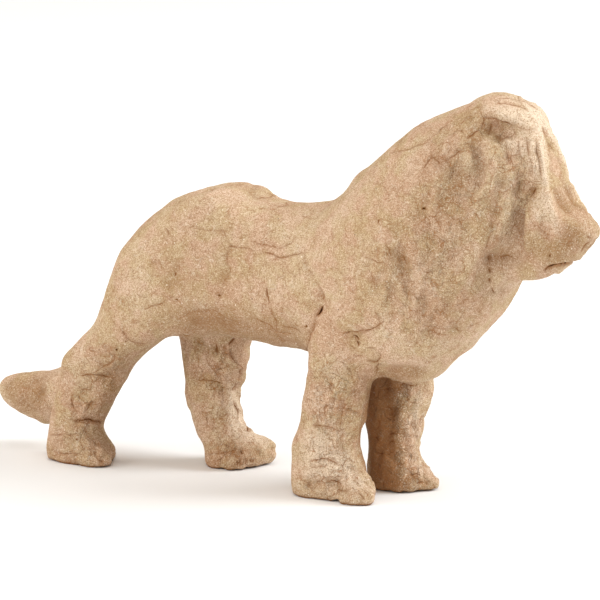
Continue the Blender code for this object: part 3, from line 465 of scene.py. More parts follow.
        "shinStrip": ("hollow", -0.47, 1.2, 0.35, [(223, 380), (224.5, 400), (222.5, 418), (227, 433)]),
        "instepNick": ("crease", -0.27, 0.4, 0.59, [(213, 446), (224, 444), (234, 448)]),
        "toeHole": ("slit", -0.61, 0.5, 1.2, [(241.3, 450.5), (243, 452.5), (244.3, 455)]),
        "toePleatA": ("crease", -0.47, 0.4, 0.85, [(241.5, 456), (240.8, 462), (240.5, 468)]),
        "toePleatB": ("crease", -0.47, 0.4, 0.85, [(246, 456), (246.5, 462), (246, 468)]),
        "toePleatC": ("crease", -0.41, 0.4, 0.72, [(250, 459), (252, 464)]),
        "toeGapA": ("hollow", -0.68, 1.0, 0.35, [(254, 447), (259, 454), (262, 463)]),
        "toeGapB": ("hollow", -0.61, 0.8, 0.5, [(268, 442), (271.5, 448), (272.5, 455)]),
        "heelLine": ("crease", -0.27, 0.4, 0.59, [(207, 455.5), (217, 454.5), (228, 452), (239, 449)]),
        "heelTear": ("crease", -0.41, 0.4, 0.78, [(216, 463), (220.5, 459), (223, 455.5)]),
    },
    "tail": {
        "twinShift": 0.0,
        "tailRidge": ("ridge", 0.39, 1.6, -0.25, [(50, 378), (51, 392), (49, 408)]),
        "tailHollow": ("hollow", -0.39, 1.5, 0.4, [(43, 384), (41, 394), (37, 405)]),
        "tailStreak": ("hollow", -0.33, 1.3, 0.45, [(26, 384), (34, 381), (44, 377)]),
        "tailTip": ("hollow", -0.26, 1.3, 0.45, [(7, 392), (8, 385), (14, 380)]),
        "tailBand": ("ridge", 0.26, 1.6, -0.15, [(14, 394), (24, 390), (34, 393)]),
        "tailLow": ("hollow", -0.26, 1.2, 0.3, [(18, 402), (28, 407), (40, 412)]),
    },
}

# Broad areas: what is changed, by how much, how far it reaches in mm, and where it lies in pixels.
# "push" moves the paper out (mm), "raise" lifts it off the ground (mm), "rough" crumples it,
# "tone" above 0 is paler and below 0 darker, "rust" is redder; the painted shade and painted highlight
# among them are marked below.
areas = {
    "chestIn": ("push", -1.0, 3.5, [(494, 333)]),
    "breastIn": ("push", -0.8, 3.5, [(461, 362)]),
    "chinIn": ("push", -0.9, 3.0, [(566, 273)]),
    "pawFrontIn": ("push", -0.5, 4.0, [(111, 437)]),
    "archOut": ("push", 0.8, 4.0, [(178, 333)]),
    "chestUp": ("push", -2.0, 3.2, [(386, 375), (396, 373), (408, 373), (418, 374)]),
    "hockOut": ("push", 0.5, 4.5, [(103, 419)]),
    "bellyIn": ("push", -0.5, 4.5, [(297, 352)]),
    "groinIn": ("push", -0.9, 3.0, [(255, 347)]),
    "farInstepIn": ("push", -0.9, 3.0, [(256, 423)]),
    "farHamIn": ("push", -0.8, 3.0, [(179, 379)]),
    "farToesIn": ("push", -1.1, 3.0, [(429, 457)]),
    "withersIn": ("push", -0.5, 4.0, [(343, 189)]),
    "muzzleLowOut": ("push", 0.45, 2.8, [(577, 261), (587, 250)]),
    "browIn": ("push", -0.6, 2.6, [(564, 143)]),
    "bridgeIn": ("push", -0.9, 2.4, [(583, 195)]),
    "noseOut": ("push", 1.0, 2.6, [(595, 228)]),
    "shinOut": ("push", 1.0, 4.0, [(370, 424)]),
    "legBackOut": ("push", 1.0, 3.0, [(313, 362)]),
    "shinBackOut": ("push", 0.5, 3.5, [(304, 380), (301, 400)]),
    "heelOut": ("push", 0.8, 3.0, [(295, 444)]),
    "kneeOut": ("push", 1.5, 3.0, [(242, 362), (240, 376)]),
    "farHindToesOut": ("push", 1.3, 3.0, [(272, 448)]),
    "hamOut": ("push", 1.1, 3.0, [(67, 362)]),
    "hockBackOut": ("push", 0.8, 2.5, [(46, 421)]),
    "nearToesOut": ("push", 0.9, 2.4, [(366, 499)]),
    "snoutOut": ("push", 0.4, 2.0, [(588, 216)]),
    "maneBackOut": ("push", 0.7, 3.0, [(357, 175)]),
    "farHamLowOut": ("push", 0.7, 3.0, [(198, 432)]),
    "tailTipOut": ("push", 0.8, 3.0, [(2, 384)]),
    "farForeToesOut": ("push", 1.1, 1.9, [(432, 487)]),
    "farToesUp": ("raise", 0.5, 6.0, [(266, 461), (274, 461)]),
    "farForeToesUp": ("raise", 0.5, 4.5, [(418, 488), (434, 486)]),
    "headRough": ("rough", 0.9, 9.0, [(500, 150), (512, 180), (505, 225)]),
    "maneRough": ("rough", 0.9, 15.0, [(465, 160), (455, 215), (440, 270), (425, 315)]),
    "shoulderRough": ("rough", 0.7, 13.0, [(395, 265), (390, 320)]),
    "crownRough": ("rough", 0.4, 9.0, [(480, 112), (525, 112)]),
    "muzzleRough": ("rough", 0.4, 9.0, [(560, 240)]),
    "nearForeRough": ("rough", 1.2, 9.0, [(335, 385), (330, 430), (335, 480)]),
    "farForeRough": ("rough", 1.4, 8.0, [(400, 395), (400, 440), (405, 480)]),
    "nearHindRough": ("rough", 0.9, 9.0, [(105, 365), (85, 410), (80, 450)]),
    "farHindRough": ("rough", 1.0, 9.0, [(210, 360), (220, 410), (240, 452)]),
    "tailRough": ("rough", 0.5, 8.0, [(20, 392), (42, 394)]),
    # paler on the lit faces of crown, temple, brow and cheek: partly worn paper, partly painted highlight
    "crownPale": ("tone", 0.62, 5.0, [(510, 110), (536, 116)]),
    "templePale": ("tone", 0.5, 3.6, [(513, 146), (526, 152), (530, 168)]),
    "browPale": ("tone", 0.45, 2.8, [(541, 140), (543, 162), (547, 184)]),
    "cheekPale": ("tone", 0.55, 3.2, [(538, 203), (546, 214), (553, 226)]),
    # painted shade in the hollow between brow and nose
    "nosePaintedShade": ("tone", -0.5, 2.8, [(557, 190), (564, 203)]),
    "muzzleDeep": ("tone", -0.55, 7.0, [(572, 228), (562, 250), (545, 252)]),
    "backDeep": ("tone", -0.25, 7.0, [(225, 190), (290, 206), (330, 206)]),
    # paler near fore toes and paw top (this row and nearPawPale): partly worn paper, partly painted
    # highlight
    "nearToesPale": ("tone", 0.75, 4.0, [(352, 479), (345, 472)]),
    "nearLegPale": ("tone", 0.22, 8.0, [(325, 400), (325, 445)]),
    "nearPawPale": ("tone", 0.4, 7.0, [(320, 475), (345, 480)]),
    "nearPlatePale": ("tone", 0.45, 4.0, [(313, 440), (320, 470)]),
    # paler on the lit right sides of the far legs and toes: partly worn paper, partly painted highlight
    "farToesPale": ("tone", 0.55, 4.0, [(424, 473), (410, 458)]),
    "farShinPale": ("tone", 0.45, 3.0, [(418, 400), (414, 430)]),
    "hindToesPale": ("tone", 0.8, 4.5, [(260, 440), (240, 425), (234, 405)]),
    "maneDeep": ("tone", -0.4, 10.0, [(458, 205), (450, 240)]),
    # painted shade in the ear hollows, and in the next row under the jaw
    "earPaintedShade": ("tone", -0.3, 4.0, [(455, 172), (477, 148)]),
    "jawPaintedShade": ("tone", -0.35, 5.0, [(500, 258), (515, 235)]),
    "chestDeep": ("tone", -0.35, 9.0, [(480, 300), (440, 320)]),
    # painted shade in the shoulder hollow
    "shoulderPaintedShade": ("tone", -0.3, 5.0, [(400, 262), (390, 290)]),
    # painted shade under the belly, on the far foreleg's inner side and under the chest between the
    # forelegs
    "bellyPaintedShade": ("tone", -0.9, 9.0, [(195, 326), (240, 332), (290, 338)]),
    "farForePaintedShade": ("tone", -1.5, 5.2, [(376, 385), (378, 405), (380, 430), (380, 455), (382, 478)]),
    "archPaintedShade": ("tone", -1.0, 3.0, [(384, 380), (400, 376), (416, 377)]),
    # a painted warm shade on the far foreleg's inner side, and painted shade on the near hind leg's side
    # under the belly
    "farForePaintedWarmShade": ("rust", 1.1, 8.0, [(376, 385), (376, 420), (378, 455), (384, 478)]),
    "nearHindPaintedShade": ("tone", -0.55, 5.0, [(121, 358), (112, 395), (103, 440)]),
    "hindPawPale": ("tone", 0.1, 5.0, [(100, 460), (60, 455)]),
    "shinRust": ("rust", 0.7, 5.0, [(90, 380), (85, 405), (80, 425)]),
    "farShinRust": ("rust", 0.35, 4.5, [(215, 350), (212, 385), (215, 420)]),
    "farHindPale": ("tone", 0.1, 7.0, [(200, 380), (215, 420), (235, 455)]),
    "tailDeep": ("tone", -0.75, 6.0, [(20, 395), (40, 390)]),
    "forePawRust": ("rust", 1.0, 4.0, [(298, 482), (325, 482), (348, 490)]),
    "hindPawRust": ("rust", 1.1, 5.5, [(58, 455), (82, 457), (103, 456)]),
    "farHindPawRust": ("rust", 0.9, 5.0, [(212, 457), (240, 459), (262, 455)]),
    "farForePawRust": ("rust", 1.1, 4.5, [(412, 476), (428, 483)]),
    "elbowRust": ("rust", 0.6, 4.5, [(350, 340), (370, 352), (342, 418)]),
    "shoulderRust": ("rust", 0.6, 4.0, [(402, 262), (378, 282)]),
    "hairRust": ("rust", 0.6, 3.5, [(470, 134), (492, 119), (428, 165)]),
    "netRust": ("rust", 0.5, 3.5, [(230, 246), (225, 280), (272, 254)]),
    "throatRust": ("rust", 0.6, 4.0, [(492, 265), (500, 257)]),
    "dorsalRust": ("rust", 0.6, 3.0, [(190, 198), (225, 187)]),
    "tailRust": ("rust", 0.6, 5.0, [(14, 392), (36, 396)]),
    "muzzleRust": ("rust", 0.5, 4.0, [(575, 228), (568, 248)]),
}

refine = {
    "shapeLimit": 1.5,  # mm, narrower ridges, hollows and folds get finer mesh
    "shapeReach": 1.15,  # half widths either side of them
    "lineReach": 0.55,  # mm either side of a crease, slit or dot
    "deepReach": 0.45,  # mm either side of a slit or dot, where the mesh is made finer again
}


def copyOfNode(name, newName):
    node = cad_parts[name]
    obj = bpy.data.objects.new(newName, node.data.copy())
    bpy.context.scene.collection.objects.link(obj)
    bpy.ops.object.select_all(action="DESELECT")
    obj.select_set(True)
    bpy.context.view_layer.objects.active = obj
    bpy.ops.object.mode_set(mode="EDIT")
    bpy.ops.mesh.select_all(action="SELECT")
    bpy.ops.mesh.remove_doubles(threshold=bodyForm["weld"] * millimetre)
    bpy.ops.object.mode_set(mode="OBJECT")
    return obj


def applyModifier(obj, kind, **settings):
    modifier = obj.modifiers.new(kind.title(), kind)
    for name, value in settings.items():
        setattr(modifier, name, value)
    bpy.context.view_layer.objects.active = obj
    bpy.ops.object.modifier_apply(modifier=modifier.name)


def vertexRows(obj):
    points = np.empty(len(obj.data.vertices) * 3)
    obj.data.vertices.foreach_get("co", points)
    normals = np.empty(len(obj.data.vertices) * 3, np.float32)
    obj.data.vertex_normals.foreach_get("vector", normals)
    return points.reshape(-1, 3), normals.reshape(-1, 3).astype(float)


def setVertexRows(obj, points):
    obj.data.vertices.foreach_set("co", points.ravel())
    obj.data.update()


def surfaceTree(obj):
    mesh = obj.data
    return BVHTree.FromPolygons([v.co for v in mesh.vertices], [p.vertices for p in mesh.polygons])


pathSearch = {
    "step": 2,  # mm, between the places tried along a line of sight that misses the lion
    "steps": 45,  # in front of the lion's middle, and behind it
    "jumpShare": 3,  # a step in depth this many times the step in the picture,
    "jumpRoom": 3,  # and so many mm more, means that the path has slipped onto another part
}


def castPath(tree, path):  # where a path in the photograph lies on the lion, with the normals there
    runs = [[]]
    lastPixel = None
    for u, v in path:
        start, aim = photoRay(u, v)
        spot, normal, _, _ = tree.ray_cast(start, aim)
        if spot is None:  # just past the outline, so the nearest skin to that line of sight
            steps = range(-pathSearch["steps"], pathSearch["steps"] + 1)
            along = [cameraLook["distance"] + k * pathSearch["step"] * millimetre for k in steps]
            nearest = [tree.find_nearest(start + aim * distance) for distance in along]
            spot, normal, _, _ = min(nearest, key=lambda near: near[3])
        if runs[-1]:
            step = math.dist((u, v), lastPixel) * cameraLook["distance"] / cameraLook["focalPixels"]
            longest = pathSearch["jumpShare"] * step + pathSearch["jumpRoom"] * millimetre
            if (spot - runs[-1][-1][0]).length > longest:
                runs.append([])
        runs[-1].append((spot, normal))
        lastPixel = (u, v)
    return max(runs, key=len)


def twinPath(tree, spots, shift):  # the same stroke on the hidden side
    twins = [Vector((spot.x + shift, -spot.y, spot.z)) for spot, _ in reversed(spots)]
    return [tree.find_nearest(twin)[:2] for twin in twins]


def pathLength(spots):
    return sum((after[0] - before[0]).length for before, after in zip(spots, spots[1:]))


strokeShape = {
    "shortest": 0.4,  # mm, anything shorter would only be a pinhole
    "noLength": 1e-12,  # square metres, a stretch shorter than its root counts as a single point
    "depth": 1.35,  # times the heights of ridges, hollows and folds
    "reach": 4.5,  # half widths either side
    "endShare": 0.35,  # of its length, over which a stroke runs out at each end
    "endLongest": 2.2,  # mm
    "endCurve": 0.7,
    "foldSlope": 1.5,  # half widths
    "foldFoot": (0.3, 0.5),  # depth and half width of the groove at a fold's foot
    "lip": (0.22, 1.8, 0.8),  # height, place and half width of the swelling beside a crease
    "stain": (0.16, 2.2),  # how dark and how wide the paper is stained along a crease
    "dotEdge": (1.45, 1.25),  # how full and how sharp a dot's black is
    "shakes": ((4.5, 0.55), (1.7, 0.18)),  # size of the waves that shake a stroke, and how far, mm
}


def allStrokes(tree):
    strokes = []
    for group in relief.values():
        for name, stroke in group.items():
            if name == "twinShift":
                continue
            kind, height, width, dark, path = stroke
            spots = castPath(tree, path)
            if kind == "dot":
                strokes.append((kind, height, width, dark, spots))
                continue
            for side in (spots, twinPath(tree, spots, group["twinShift"])):
                if pathLength(side) > strokeShape["shortest"] * millimetre:
                    strokes.append((kind, height, width, dark, side))
    return strokes


def nearStroke(points, spots):  # distance, length along the path from its nearer end, side, whole length
    places = np.array([s[0][:] for s in spots])
    normals = np.array([s[1][:] for s in spots])
    side = np.ones(len(points))
    if len(places) == 1:
        return np.linalg.norm(points - places[0], axis=1), side, side, 1.0
    lengths = np.linalg.norm(np.diff(places, axis=0), axis=1)
    starts = np.concatenate([[0], np.cumsum(lengths)])
    gap = np.full(len(points), np.inf)
    along = np.zeros(len(points))
    for i, length in enumerate(lengths):
        span = places[i + 1] - places[i]
        share = np.clip((points - places[i]) @ span / max(span @ span, strokeShape["noLength"]), 0, 1)
        away = points - places[i] - share[:, None] * span
        distance = np.linalg.norm(away, axis=1)
        left = np.cross(normals[i], span)
        closer = distance < gap
        gap[closer] = distance[closer]
        along[closer] = (starts[i] + share * length)[closer]
        side[closer] = np.where((away @ left)[closer] < 0, -1, 1)
    return gap, np.minimum(along, starts[-1] - along), side, starts[-1]


def within(points, spots, reach):
    places = np.array([s[0][:] for s in spots])
    low, high = places.min(0) - reach, places.max(0) + reach
    return np.where(((points > low) & (points < high)).all(1))[0]


def shakenPoints(points):  # strokes are laid on slightly shaken points, so no edge is ruled
    shaken = points.copy()
    for i, p in enumerate(points):
        place = Vector(p) / millimetre
        moves = (noise.noise_vector(place / size) * amount for size, amount in strokeShape["shakes"])
        shaken[i] += np.array(sum(moves, Vector())[:]) * millimetre
    return shaken


def bell(gap):
    return np.exp(-(gap**2))


def sculptStrokes(points, strokes):  # how far each point is lifted, and how much paler or darker it is painted
    lift = np.zeros(len(points))
    tone = np.zeros(len(points))
    dotDark = np.zeros(len(points))
    footDepth, footWidth = strokeShape["foldFoot"]
    lipHeight, lipPlace, lipWidth = strokeShape["lip"]
    stain, stainWidth = strokeShape["stain"]
    dotFull, dotSharp = strokeShape["dotEdge"]
    for kind, height, width, dark, spots in strokes:
        chosen = within(points, spots, strokeShape["reach"] * width * millimetre)
        if len(chosen) == 0:
            continue
        gap, along, side, length = nearStroke(points[chosen], spots)
        gap = gap / (width * millimetre)
        taper = min(strokeShape["endShare"] * length, strokeShape["endLongest"] * millimetre)
        ends = np.clip(along / taper, 0, 1) ** strokeShape["endCurve"]
        # on ridges and hollows the tone is painted light: a painted shade in a hollow, and a painted
        # highlight on a ridge, whose darkness is below 0
        if kind in ("ridge", "hollow"):
            shape = bell(gap) * ends
            lift[chosen] += strokeShape["depth"] * height * shape
            tone[chosen] -= dark * shape
        elif kind == "fold":
            slope, foot = bell(gap / strokeShape["foldSlope"]), -footDepth * bell(gap / footWidth)
            shape = np.where(side > 0, slope, foot)
            lift[chosen] += strokeShape["depth"] * height * shape * ends
        elif kind == "dot":
            lift[chosen] += height * bell(gap)
            dotDark[chosen] = np.maximum(dotDark[chosen], dark * np.clip(dotFull - gap * dotSharp, 0, 1))
        else:
            pinch = bell(gap) - lipHeight * bell((gap - lipPlace) / lipWidth)
            lift[chosen] += height * pinch * ends
            tone[chosen] -= stain * min(dark, 1) * bell(gap / stainWidth) * ends
    return lift * millimetre, tone, dotDark


lineShape = {
    "layers": 3,  # lines that pass close to each other are kept in different layers
    "apart": 2.6,  # mm, lines this far apart may share a layer
    "plainWidth": 0.45,  # mm, half width of a stroke whose line is drawn as thin as paperLook says
    "reach": 2,  # mm either side
    "far": 3.0,  # mm, what is written where there is no line
    "fade": (0.7, 1.3),  # mm from a line where it starts and ends fading
    "endShare": 0.3,  # of its length, over which a line fades in
    "endLongest": 1.4,  # mm
    "samples": 4,  # along each stretch, to find how near other lines pass
}


def lineMarks(points, strokes):  # signed distance to the nearest line and how dark it is, in layers
    across = np.full((len(points), lineShape["layers"]), lineShape["far"])
    dark = np.zeros((len(points), lineShape["layers"]))
    laid = [[] for _ in range(lineShape["layers"])]
    samples = lineShape["samples"]
    fadeStart, fadeEnd = lineShape["fade"]
    for kind, _, width, strength, spots in strokes:
        if kind == "fold":
            width = lineShape["plainWidth"]
        if kind not in ("crease", "slit", "fold"):
            continue
        stretches = [(before[0], after[0]) for before, after in zip(spots, spots[1:])]
        own = np.array([a.lerp(b, k / samples)[:] for a, b in stretches for k in range(samples + 1)])
        room = [lineShape["apart"] * millimetre] * lineShape["layers"]
        for i, others in enumerate(laid):
            for other in others:
                room[i] = min(room[i], np.linalg.norm(own[:, None] - other[None], axis=2).min())
        layer = int(np.argmax(room))
        laid[layer].append(own)
        chosen = within(points, spots, lineShape["reach"] * millimetre)
        gap, along, side, length = nearStroke(points[chosen], spots)
        gap = gap / millimetre  # from here in mm
        nearer = gap < np.abs(across[chosen, layer])
        rows = chosen[nearer]
        taper = min(lineShape["endShare"] * length, lineShape["endLongest"] * millimetre)
        fade = np.clip((fadeEnd - gap) / (fadeEnd - fadeStart), 0, 1)
        across[rows, layer] = (side * gap * lineShape["plainWidth"] / width)[nearer]
        dark[rows, layer] = (strength * fade * np.clip(along / taper, 0, 1))[nearer]
    return across, dark


def areaAmounts(points, tree):
    found = {kind: np.zeros(len(points)) for kind in ("push", "raise", "rough", "tone", "rust")}
    for kind, amount, reach, path in areas.values():
        sides = [castPath(tree, path)]
        if kind not in ("push", "raise"):
            sides.append([(Vector((spot.x, -spot.y, spot.z)), normal) for spot, normal in sides[0]])
        for spots in sides:
            gap = nearStroke(points, spots)[0] / (reach * millimetre)
            if kind == "rough":
                found[kind] = np.maximum(found[kind], amount * bell(gap))
            else:
                found[kind] += amount * bell(gap)
    return found


def unevenness(points, rough):
    lift = np.zeros(len(points))
    lumps, lumpSize = bodyForm["lumps"]
    dents, dentSize = bodyForm["dents"]
    folds, foldSize = bodyForm["folds"]
    fineFolds, fineSize = bodyForm["fineFolds"]
    bendAmount, bendSize = bodyForm["foldBend"]
    dentShift, ridgeShift, fineShift = (Vector(shift) for shift in bodyForm["noiseShifts"])
    way = Vector(bodyForm["hairWay"]).normalized()
    for i, p in enumerate(points):
        place = Vector(p) / millimetre
        drawn = place - way * (place.dot(way) * (1 - bodyForm["hairStretch"]))
        bend = noise.noise_vector(drawn / bendSize) * bendAmount
        valley = abs(noise.noise(drawn / foldSize + bend))
        ridge = abs(noise.noise(drawn / foldSize * bodyForm["ridgesToFolds"] + ridgeShift - bend))
        fine = abs(noise.noise(drawn / fineSize + bend)) - abs(noise.noise(drawn / fineSize + fineShift))
        lift[i] = lumps * noise.noise(place / lumpSize) + dents * noise.noise(place / dentSize + dentShift)
        lift[i] += rough[i] * (folds * (valley - ridge) + fineFolds * fine)
    return lift * millimetre


def refineMesh(obj, close):
    bm = bmesh.new()
    bm.from_mesh(obj.data)
    edges = [e for e in bm.edges if close[e.verts[0].index] and close[e.verts[1].index]]
    bmesh.ops.subdivide_edges(bm, edges=edges, cuts=1, use_grid_fill=True)
    bmesh.ops.triangulate(bm, faces=[f for f in bm.faces if len(f.verts) > 4])
    bm.to_mesh(obj.data)
    bm.free()


def refineNear(obj, strokes):
    for deep in (False, True):
        points, _ = vertexRows(obj)
        close = np.zeros(len(points), bool)
        for kind, _, width, _, spots in strokes:
            shaped = kind in ("ridge", "hollow", "fold")
            if deep and kind not in ("slit", "dot"):
                continue
            if shaped and width > refine["shapeLimit"]:
                continue
            plainReach = refine["shapeReach"] * width if shaped else refine["lineReach"]
            reach = (refine["deepReach"] if deep else plainReach) * millimetre
            chosen = within(points, spots, reach)
            if len(chosen):
                close[chosen[nearStroke(points[chosen], spots)[0] < reach]] = True
        refineMesh(obj, close)
    print("finer mesh near the strokes:", len(obj.data.vertices), "points")


def saveMark(obj, name, values):
    kind, field = ("FLOAT", "value") if values.ndim == 1 else ("FLOAT_VECTOR", "vector")
    attribute = obj.data.attributes.new(name, kind, "POINT")
    attribute.data.foreach_set(field, values.astype(np.float32).ravel())


def makeLion():
    noise.seed_set(bodyForm["seed"])
    lion = copyOfNode("lion", "paperLion")
    applyModifier(lion, "REMESH", mode="VOXEL", voxel_size=bodyForm["voxel"] * millimetre)
    applyModifier(lion, "SMOOTH", factor=bodyForm["smoothing"], iterations=bodyForm["smoothRounds"])
    points, normals = vertexRows(lion)
    setVertexRows(lion, points + normals * bodyForm["swell"] * millimetre)
    print("lion remeshed:", len(lion.data.vertices), "points")
    tree = surfaceTree(lion)
    strokes = allStrokes(tree)
    refineNear(lion, strokes)
    points, normals = vertexRows(lion)
    shaken = shakenPoints(points)
    lift, tone, dotDark = sculptStrokes(shaken, strokes)
    across, dark = lineMarks(shaken, strokes)
    amounts = areaAmounts(points, tree)
    rough = np.maximum(amounts["rough"], bodyForm["plainRough"])
    lift += unevenness(points, rough) + amounts["push"] * millimetre
    points += normals * lift[:, None]
    points[:, 2] = np.maximum(points[:, 2], cadLow.z)  # soles stay flat
    raiseTop, raiseFull = bodyForm["raiseHeights"]
    share = np.clip((raiseTop * millimetre - points[:, 2]) / ((raiseTop - raiseFull) * millimetre), 0, 1)
    points[:, 2] += amounts["raise"] * millimetre * share
    setVertexRows(lion, points)
    saveMark(lion, "tone", tone + amounts["tone"])
    saveMark(lion, "rust", amounts["rust"])
    saveMark(lion, "rough", rough)
    saveMark(lion, "dotDark", dotDark)
    saveMark(lion, "lineAcross", across)
    saveMark(lion, "lineDark", dark)
    lion.data.shade_smooth()
    print("lion sculpted:", sum(len(p.vertices) - 2 for p in lion.data.polygons), "triangles")
    return lion


paperLook = {
    "pale": (0.780, 0.630, 0.480),
    "middle": (0.530, 0.365, 0.228),
    "olive": (0.505, 0.368, 0.204),
    "pink": (0.565, 0.368, 0.250),
    "deep": (0.310, 0.165, 0.072),
    "shade": (0.318, 0.185, 0.092),
    # reddish brown of rust, also used for a painted warm shade
    "rust": (0.330, 0.142, 0.050),
    # brown of the glue lines, also used for painted shade and the painted contact shadow
    "glue": (0.235, 0.096, 0.030),
    "black": (0.030, 0.012, 0.004),
    "speckDark": (0.170, 0.080, 0.032),
    "speckPale": (0.880, 0.760, 0.600),
    "speckWhite": (0.930, 0.860, 0.740),
    "hueSpan": (0.38, 0.62),  # of the hue noise, from olive to pink
    "hueCalm": 0.15,  # how far both are drawn to the middle colour
    "rustOnRough": (0.28, 0.20),  # what crumpling adds to the rust blotches, and their own strength
    "lineHalfWidth": 0.13,  # mm
    "lineGrowth": (0.20, 0.85),  # times that: what darkness adds, and a faint line's own
    "lineEdge": (0.45, 1.35),  # half widths from its middle, where a line starts and ends fading
    "lineHalo": 0.85,  # mm, how far the stain beside a line reaches
    "lineWobble": 0.70,  # mm
    "lineSteady": (0.9, 1.6, 1.0, 0.3),  # from where to where dark lines wobble less, and the shares
    "lineWhole": 0.2,  # taken off a line's darkness, to say how far its gaps are closed
    "lineBrown": 0.95,  # the most that a line is browned
    "fibreScale": 3100.0,
    "fibreStretch": 0.28,  # less is longer fibres
    "fibreShifts": ((0.1, 0.7, 0.2), (0.6, 0.3, 0.8)),  # for upright and for lying fibres
    "fibreTurn": (0.42, 0.58),  # of the noise that says which way they lie
    "wrinkleBend": 0.0055,  # metres
    "wrinkleNoise": (240, 3.0, 0.60, (0.2, 0.6, 0.9)),
    "wrinkleEdge": 0.3,  # of a wrinkle's width, where it starts fading
    "speckEdge": 0.5,  # of a speck's size, where it starts fading
    "speckChoice": 0.02,  # softens which cells hold a speck
    "creaseTop": 0.14,  # creases are cut off above this
    "creaseHeights": (5.0, 0.8),  # what crumpling adds to the creases, and their own height
    "bump": (0.9, 0.5),  # strength, and height in mm
    "roughness": 0.9,
    "specular": 0.12,
}

paperNoises = {  # scale, detail, roughness and shift, and for the last how bent it is
    "clouds": (85, 3.0, 0.55, (0, 0, 0)),
    "hue": (190, 1.5, 0.50, (0.55, 0.25, 0.35)),
    "blotch": (720, 2.0, 0.60, (0.15, 0.85, 0.45)),
    "mottle": (380, 4.0, 0.65, (0.3, 0.1, 0.7)),
    "grain": (1900, 2.0, 0.70, (0.5, 0.2, 0.1)),
    "fineGrain": (3600, 1.0, 0.50, (0.7, 0.4, 0.2)),
    "fibreWay": (180, 2.0, 0.50, (0.9, 0.9, 0.1)),
    "rustPatch": (450, 3.0, 0.50, (0.6, 0.8, 0.2)),
    "lineWobble": (420, 2.0, 0.60, (0.4, 0.7, 0.3)),
    "lineWidth": (700, 1.0, 0.50, (0.9, 0.1, 0.5)),
    "lineGap": (520, 2.0, 0.50, (0.15, 0.35, 0.75)),
    "creasing": (300, 3.0, 0.55, (0.4, 0.4, 0.8), 0.6),
}

paperWrinkles = {  # scale, width, scale of their patches, where those start and are full, shift
    "wideWrinkles": (150, 0.030, 210, 0.50, 0.64, (0.2, 0.9, 0.4)),
    "closeWrinkles": (330, 0.050, 260, 0.53, 0.66, (0.8, 0.3, 0.6)),
    "paleWrinkles": (240, 0.035, 300, 0.54, 0.66, (0.6, 0.6, 0.1)),
    "roughWrinkles": (260, 0.040, 330, 0.40, 0.55, (0.1, 0.2, 0.8)),
}

paperSpecks = {  # scale, size, share of the cells that hold one, shift
    "paleSpecks": (1000, 0.16, 0.16, (0.7, 0.2, 0.9)),
    "brownSpecks": (1050, 0.17, 0.26, (0.1, 0.5, 0.3)),
    "whiteSpecks": (520, 0.098, 0.32, (0.9, 0.6, 0.2)),
    "blackSpecks": (260, 0.052, 0.34, (0.4, 0.1, 0.6)),
}

paperShares = {  # what it follows, from where to where, and the share at either end
    "onMottle": ("rough", 0.95, 1.2, 0.50, 0.60),
    "onGrain": ("rough", 0.95, 1.2, 0.50, 0.72),
    "onSpecks": ("rough", 0.2, 1.0, 0.60, 0.88),
    "onCrumples": ("rough", 0.3, 0.9, 0.0, 1.0),
    "onDry": ("tone", -1.6, -0.7, 0.25, 1.0),  # pale marks are weaker where the tone is darkest, mostly in the painted shade
    "inPatches": ("rustPatch", 0.38, 0.70, 0.12, 0.85),
    "lineThick": ("lineWidth", 0.3, 0.7, 0.6, 1.5),
    "lineUnbroken": ("lineGap", 0.38, 0.56, 0.12, 1.0),
}

